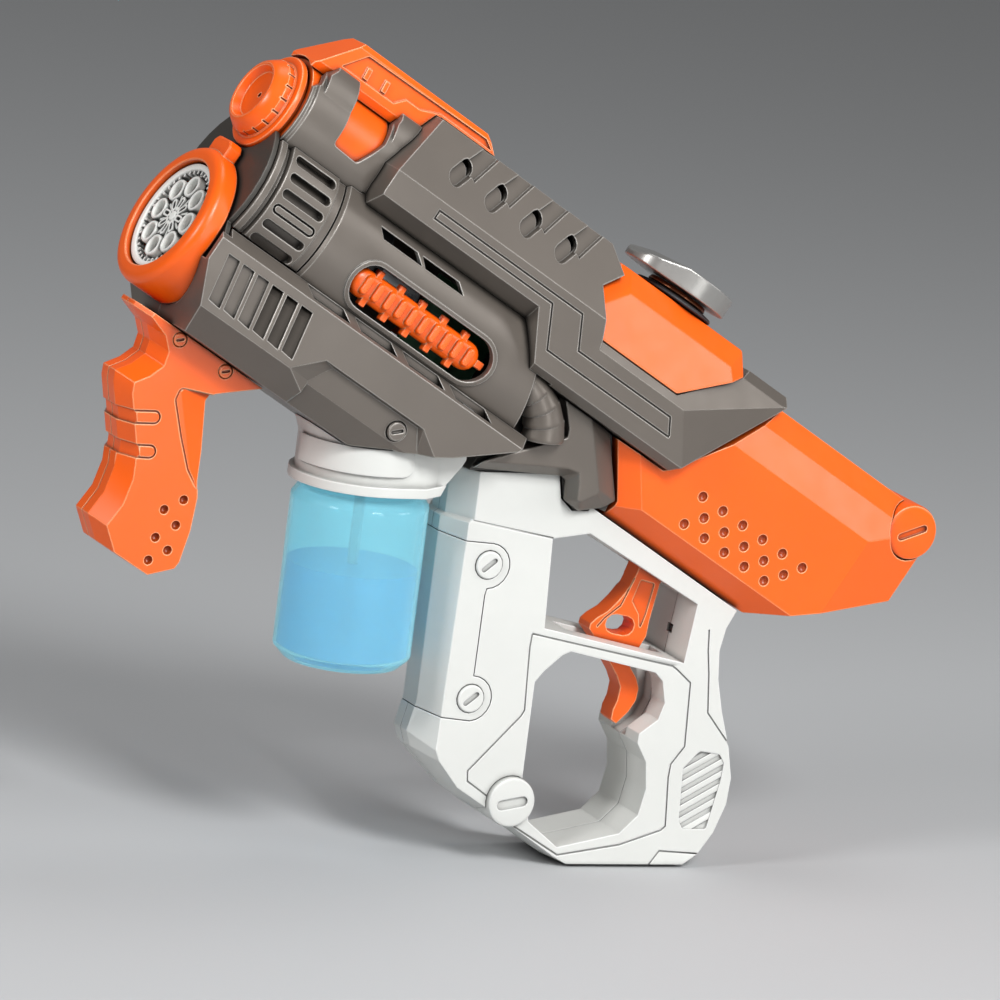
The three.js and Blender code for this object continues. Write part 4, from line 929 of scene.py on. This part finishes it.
def build_cap_sleeve():
    """Sleeve round the upper tube, with a thick lobe before and behind its side opening."""
    at = (0, 0, SLEEVE_T)
    r = SLEEVE_RADIUS
    edge = BRIDGE_HALF_WIDTH + GAP
    rim = [(r - 1.8, -146), (r - 0.9, -146), (r - 0.9, -144.8), (r, -144.2), (r, -113), (r - 1.8, -113),
           (r - 1.8, -146)]
    behind = cut(tube(r, r - 1.8, -114, -100, "rear", at, 160),
                 rod(BARREL_RADIUS + GAP, -113, -90, "rear", (0, 0, BARREL_T), 160))
    slope = plate([(-150, 70.5), (-146, 71.5), (-143.6, 73.5), (-142, 78), (-142, 90), (-150, 90)], -1, 30)
    sleeve = join(lathe(rim, "rear", at, 160), behind)
    sleeve = cut(sleeve, half_space(), bar(rectangle(-1, 70, edge, 90), -160, -90), slope)
    section = [on_circle(0, SLEEVE_T, radius, angle) for radius, angle in SLEEVE_LOBE]
    section += [(edge, 81.2), (edge, 76.2)]
    section += [on_circle(0, SLEEVE_T, 18.4, angle) for angle in (44, 30)]
    front_side = [(-142, 60), (-142, 78), (-139.6, 80.6), (-136.4, 90), (-120, 90), (-120, 60)]
    front = common(bar(section, -142, -120), plate(rounded(front_side, 1.2), 5, 30))
    rear = bar(section, -113, -100)
    opening = [(-131, 60.2), (-120.6, 59.6), (-114.8, 69.6), (-113.4, 76.6), (-112, 80), (-112, 90),
               (-131, 90), (-130.4, 76), (-130.6, 67)]
    sleeve = cut(join(sleeve, front, rear), plate(rounded(opening, 1.6), -1, 30), rail_room())
    finished_pair(soften(sleeve, 0.45, 35, 2), "cap_sleeve", BARREL, GREY)


def build_inner_tube():
    """The tube inside the sleeve, behind the front cap."""
    inner = tube(SLEEVE_RADIUS - 2.4, 15.8, -145.7, -113.6, "rear", (0, 0, SLEEVE_T), 128)
    finished(inner, "inner_tube_turned", BARREL, ORANGE, ["inner_tube"])


CAP_NOTCHES = 18


def build_front_cap():
    """Front cap: a dished face, a lip, a knurled band and a wide flange."""
    at = (0, 0, SLEEVE_T)
    profile = [
        (0, -152.3), (1.0, -152.3), (5.5, -152.5), (8.0, -153.0), (8.9, -154.6), (9.4, -155.4),
        (10.1, -155.6), (10.9, -155.3), (11.9, -154.0), (12.9, -152.5), (13.4, -151.8), (13.4, -149.6),
        (13.8, -149.2), (15.4, -149.2), (16.2, -148.9), (16.5, -148.2), (16.5, -147.2), (16.2, -146.8),
        (14.8, -146.4), (14.8, -140), (0, -140),
    ]
    cap = lathe(profile, "rear", at, 128)
    notches = []
    for i in range(CAP_NOTCHES):
        notch = plate(rectangle(-152.0, 12.9, -149.6, 15), -0.3, 0.3)
        notches.append(turned(notch, 360 * i / CAP_NOTCHES, SLEEVE_T))
    pin_hole = rod(0.8, -156, -150.5, "rear", at, 24)
    finished(cut(cap, pin_hole, *notches), "front_cap_turned", BARREL, ORANGE, ["front_cap"])


def build_bezel():
    """Muzzle bezel: a deep rounded ring with a lip line, a tab on top and a neck behind."""
    at = (0, 0, MUZZLE_T)
    profile = [
        (19.4, -156.0), (19.7, -156.25), (21.6, -156.3), (22.9, -156.1), (23.9, -155.5), (24.5, -154.6),
        (24.8, -153.6), (24.8, -149.4), (24.4, -148.9), (21.0, -148.6), (21.0, -145.6), (19.4, -145.6),
        (19.4, -156.0),
    ]
    ring = lathe(profile, "rear", at, 160)
    tab = bar([(-6.4, 34), (6.4, 34), (6.4, 41.6), (4.6, 43.4), (-4.6, 43.4), (-6.4, 41.6)], -153.8, -148.9)
    tab = cut(soften(tab, 0.6), rod(23.8, -160, -140, "rear", at),
              rod(16.8, -160, -140, "rear", (0, 0, SLEEVE_T)))
    neck = common(tube(24.8, 20.6, -149.6, -141.6, "rear", at, 160),
                  bar(rectangle(-30, -30, 30, 7.7), -160, -130))
    finished(join(ring, tab, neck), "muzzle_bezel_turned", BARREL, ORANGE, ["muzzle_bezel"])


# ------------------------------------------------------------------ bubble wand
WAND_FRONT = -153.6
WAND_BACK = WAND_FRONT + 2.2
WAND_TEETH = 40
WAND_LOOPS = 8
WAND_LOOP_PITCH = 11


def wand_bar(outline, ahead, degrees, back=WAND_BACK):
    """A (radius, sideways) outline run from ahead of the wand's front to back, then turned."""
    return turned(bar(outline, WAND_FRONT - ahead, back), degrees, MUZZLE_T)


def build_wand():
    """Bubble wand: toothed rim, a ring of loops, ribs between them and a petalled hub."""
    front = WAND_FRONT
    at = (0, 0, MUZZLE_T)
    rim = [(16.6, front + 2.6), (16.6, front + 0.2), (17.0, front - 0.6), (18.7, front - 0.8),
           (18.9, front - 0.4), (18.9, front + 2.6), (16.6, front + 2.6)]
    loop = [(2.7, WAND_BACK), (2.7, front), (3.0, front - 0.5), (3.6, front - 0.5), (3.9, front),
            (3.9, WAND_BACK), (2.7, WAND_BACK)]
    parts = [wand_bar(rectangle(15.5, -0.42, 17.0, 0.42), 0.1, 360 * i / WAND_TEETH)
             for i in range(WAND_TEETH)]
    holes = []
    for i in range(WAND_LOOPS):
        a = 360 * i / WAND_LOOPS
        w, t = on_circle(0, MUZZLE_T, WAND_LOOP_PITCH, a)
        parts.append(lathe(loop, "rear", (0, w, t), 32))
        parts.append(wand_bar(rectangle(14.4, -0.6, 17.0, 0.6), -0.2, a))
        parts.append(wand_bar(rectangle(2.0, -0.45, 7.6, 0.45), -0.2, a + 180 / WAND_LOOPS))
        parts.append(wand_bar(oblong(4.4, 0, 5.2, 2.3, 0, 8), 0.3, a))
        holes.append(wand_bar(oblong(4.6, 0, 3.1, 1.1, 0, 6), 1, a, back=WAND_BACK + 0.8))
    hub = lathe([(0, front - 0.5), (1.5, front - 0.5), (1.9, front - 0.1), (1.9, front + 2.4),
                 (0, front + 2.4)], "rear", at, 32)
    wand = join(lathe(rim, "rear", at, 128), *parts)
    wand = join(cut(wand, *holes), hub)
    finished(wand, "bubble_wand_moulded", BARREL, PALE, ["bubble_wand"], body="wand")


# ------------------------------------------------------------------ armour
ARMOUR_FACE = 30
POD_SCREW = (-59.6, -2.3)


def build_lower_armour():
    """Flat-sided lower armour with slanted recesses and vents, and the screw of its pod."""
    half = soften(cad_solid("lower_armour_left", BARREL), 0.55, angle=20)
    finished_pair(half, "lower_armour", BARREL, GREY, crease=14)
    screw = slotted_screw(*POD_SCREW, 3.2, 26.2, 28.1, (0.4, 0.5), (4.4, 1.2, 0.8), 40)
    finished(screw, "pod_screw_turned", BARREL, GREY, ["pod_screw"])


RAIL_CHANNEL_UPPER = ((-92.1, 62.2), (-29.2, 62.2), (-22.9, 51.9), (18.3, 51.9), (21.7, 46.9))
RAIL_CHANNEL_LOWER = ((-92.1, 59.3), (-40.3, 59.3), (-32.5, 46.3), (21.7, 46.4))
RAIL_SLOTS = [(-88.6 + 15.45 * i, 76.6) for i in range(4)]
RAIL_SLOT_LEAN = 54


def slot_depth(s, t):
    """A cutter that opens the upper end of a rail slot into a deep crescent."""
    slot = plate(oblong(s, t, 11.2, 5.2, RAIL_SLOT_LEAN), 8, 40)
    floor = plate(oblong(s - 1.3, t - 1.7, 11.2, 5.6, RAIL_SLOT_LEAN), 7, 41)
    return cut(slot, floor)


def build_rail_armour():
    """Long armour: lean-sided front with four slots, pressed channel lines and a wrapped rear."""
    half = soften(cad_solid("rail_armour_left", BARREL), 0.6, angle=15)
    ring = [*RAIL_CHANNEL_UPPER, *reversed(RAIL_CHANNEL_LOWER)]
    channel = groove(ring, ARMOUR_FACE, 0.6, 0.55, closed=True)
    half = cut(half, channel, *[slot_depth(s, t) for s, t in RAIL_SLOTS])
    finished_pair(half, "rail_armour", BARREL, GREY, crease=14)


PANEL_FRONT_FOLD = ((-21.4, 23.3, 69.6), (-12.3, 19.8, 77.6), (-13.6, 12.8, 84.2))
PANEL_REAR_FOLD = ((32.4, 19.4, 77.6), (35.4, 21.6, 73.2), (36, 13, 84.2))


def build_receiver_panel():
    """Folded panel: a large leaning face with a front, a top and a rear facet round it."""
    front = beyond(*PANEL_FRONT_FOLD, inside=(-25, 40, 85))
    rear = beyond(*PANEL_REAR_FOLD, inside=(42, 40, 85))
    half = soften(cut(cad_solid("receiver_panel_left", BARREL), front, rear), 0.6, angle=12)
    finished_pair(half, "receiver_panel", BARREL, ORANGE, crease=14)


BOOT_PIVOT = (-20.0, 26.0)
BOOT_SIDE = 21.4
BOOT_BEND = 21.6
BOOT_RADIUS = 7.0
BOOT_RINGS = 5
BOOT_RING_DEGREES = 14


def ribbed_boot():
    """A bent boot of rings fanned about one point, each lapping over the one above it."""
    x, z = BOOT_PIVOT
    pivot = Matrix.Translation((x, -BOOT_SIDE, z))
    height = math.radians(BOOT_RING_DEGREES) * (BOOT_BEND + BOOT_RADIUS) + 0.6
    rings = []
    for i in range(BOOT_RINGS):
        r = BOOT_RADIUS - 0.25 * i
        profile = [(0, 0), (r - 0.9, 0), (r - 0.25, 0.3), (r, 0.9), (r - 0.1, 1.6), (r - 1.0, height),
                   (0, height)]
        ring = lathe(profile, "up", (BOOT_BEND, 0, 0), 64)
        turn = Matrix.Rotation(-math.radians(BOOT_RING_DEGREES * i - 3), 4, "Y")
        ring.data.transform(pivot @ turn)
        rings.append(ring)
    return join(*rings)


def build_rear_connection():
    """Receiver block, its side brackets and the ribbed boots in front of them."""
    build_softened("receiver_block", BARREL, DARK, 0.5, 30)
    bracket = soften(cad_solid("side_bracket_left", BARREL), 0.45, angle=15)
    finished_pair(bracket, "side_bracket", BARREL, GREY, crease=14)
    finished_pair(ribbed_boot(), "conduit", UPRIGHT, GREY, crease=40)


# ------------------------------------------------------------------ bottle and collar
BOTTLE_RADIUS = 22.4
BOTTLE_BOTTOM = -54
BOTTLE_THREADS = (7.6, 10.4, 13.2)
LIQUID_LEVEL = -21.9
COLLAR_RADIUS = 22.4
COLLAR_PANEL = ((-80, 11.8), (-42.5, 11.8), (-42.5, 20.6), (-80, 20.6))
COLLAR_WEB = ((-38, 5.2), (-31.4, 5.2), (-23.8, 14.8), (-22.6, 17), (-22.6, 20.6), (-38, 20.6))


def build_bottle():
    """Blown bottle with a rounded foot and shoulder and a threaded neck."""
    r, foot = BOTTLE_RADIUS, BOTTLE_BOTTOM
    at = (BOTTLE_X, 0, 0)
    outside = [(0, foot + 1.2), (13, foot + 1.2), (15.5, foot), (r - 3.5, foot), (r, foot + 3.6),
               (r, -0.6), (r - 2.4, 3.0), (15.0, 4.7), (15.0, 14.8)]
    inside = [(13.7, 14.8), (13.7, 4.0), (r - 3.4, 2.0), (r - 1.0, -1.2), (r - 1.0, foot + 4.2),
              (r - 4.2, foot + 1.2), (15.6, foot + 1.2), (13, foot + 2.2), (0, foot + 2.2)]
    wall = rounded_profile(outside, 2.2) + rounded_profile(inside, 1.8)
    threads = [lathe([(14.6, z - 0.7), (15.35, z), (14.6, z + 0.7), (14.6, z - 0.7)], "up", at, 96)
               for z in BOTTLE_THREADS]
    bottle = join(lathe(wall, "up", at, 128), *threads)
    finished(bottle, "bottle_blown", UPRIGHT, CLEAR_BLUE, ["bottle"], body="bottle", crease=50)


def build_soap_solution():
    """The liquid that fills the bottle half, with room for the dip tube."""
    r, foot = BOTTLE_RADIUS, BOTTLE_BOTTOM
    at = (BOTTLE_X, 0, 0)
    fill = lathe([(0, foot + 2.35), (13, foot + 2.35), (15.7, foot + 1.4), (r - 4.3, foot + 1.4),
                  (r - 1.15, foot + 4.3), (r - 1.15, LIQUID_LEVEL), (0, LIQUID_LEVEL)], "up", at, 128)
    fill = cut(fill, rod(2.0, -48.4, 0, "up", at, 32))
    finished(fill, "soap_solution", UPRIGHT, LIQUID, body="bottle", crease=50)


def build_collar():
    """Screw collar with a lip, a raised panel on its side and the web onto the grip column."""
    at = (BOTTLE_X, 0, 0)
    collar = soften(cad_solid("bottle_collar", UPRIGHT), 0.7, angle=35)
    skin = tube(COLLAR_RADIUS + 1.1, COLLAR_RADIUS - 1, 11.8, 20.6, "up", at, 128)
    skin = common(skin, plate(rounded(COLLAR_PANEL, 4.2), 0, 40))
    collar = join(collar, soften(skin, 0.5, 35, 2))
    below = plate([(-30.8, 5), (-30.4, 4.2), (-15, 4.2), (-15, 14.8), (-23.0, 14.8)], -30, 30)
    web = soften(plate(COLLAR_WEB, -18.5, 18.5), 0.5, 35, 2)
    collar = join(cut(collar, below), cut(web, rod(16.2, 0, 25, "up", at)))
    finished(collar, "bottle_collar_moulded", UPRIGHT, WHITE, ["bottle_collar"])


# ------------------------------------------------------------------ mode knob
KNOB_S = 11.6


def build_knob():
    """Mode knob: its turned seat, a copper neck and the gripped cap."""
    at = (KNOB_S, 0, 0)
    seat = lathe([(0, 82.5), (9.2, 82.5), (9.2, 84.6), (13.4, 84.6), (14.0, 84.9), (14.2, 85.4),
                  (13.8, 86.0), (11, 86.6), (0, 86.6)], "up", at)
    finished(seat, "knob_seat_turned", BARREL, BLACK, ["knob_seat"])
    neck = lathe([(0, 86.9), (10.6, 86.9), (10.8, 87.2), (10.3, 88.4), (0, 88.6)], "up", at)
    finished(neck, "knob_neck_turned", BARREL, COPPER, ["knob_neck"], body="knob")
    build_softened("mode_knob", BARREL, SILVER, 0.35, 15, body="knob", crease=14)


# ------------------------------------------------------------------ everything together
def finish_plain_nodes():
    """Every CAD node gets its slot's material, which shows where no piece stands for it."""
    for entry in frame["record"]["subparts"]:
        node = nodes[entry["node"]]
        node.data.materials.clear()
        node.data.materials.append(MATERIAL_OF_SLOT[entry["material_slot"]])
        node.data.shade_smooth()
        node.data.set_sharp_from_angle(angle=math.radians(30))


bpy.context.scene.view_settings.view_transform = "Standard"
make_camera()
make_floor()
make_lights()
finish_plain_nodes()
build_barrel_shell()
build_ribbed_core()
build_shroud()
build_cap_sleeve()
build_inner_tube()
build_front_cap()
build_bezel()
build_wand()
build_lower_armour()
build_rail_armour()
build_receiver_panel()
build_softened("top_bridge", BARREL, ORANGE, 0.35, 30, crease=14)
build_softened("front_bulkhead", BARREL, DARK, 0.3, 40)
build_rear_connection()
build_bottle()
build_soap_solution()
build_collar()
build_knob()
build_stock()
build_stock_pin()
build_foregrip()
build_grip()
build_grip_fittings()
build_trigger()
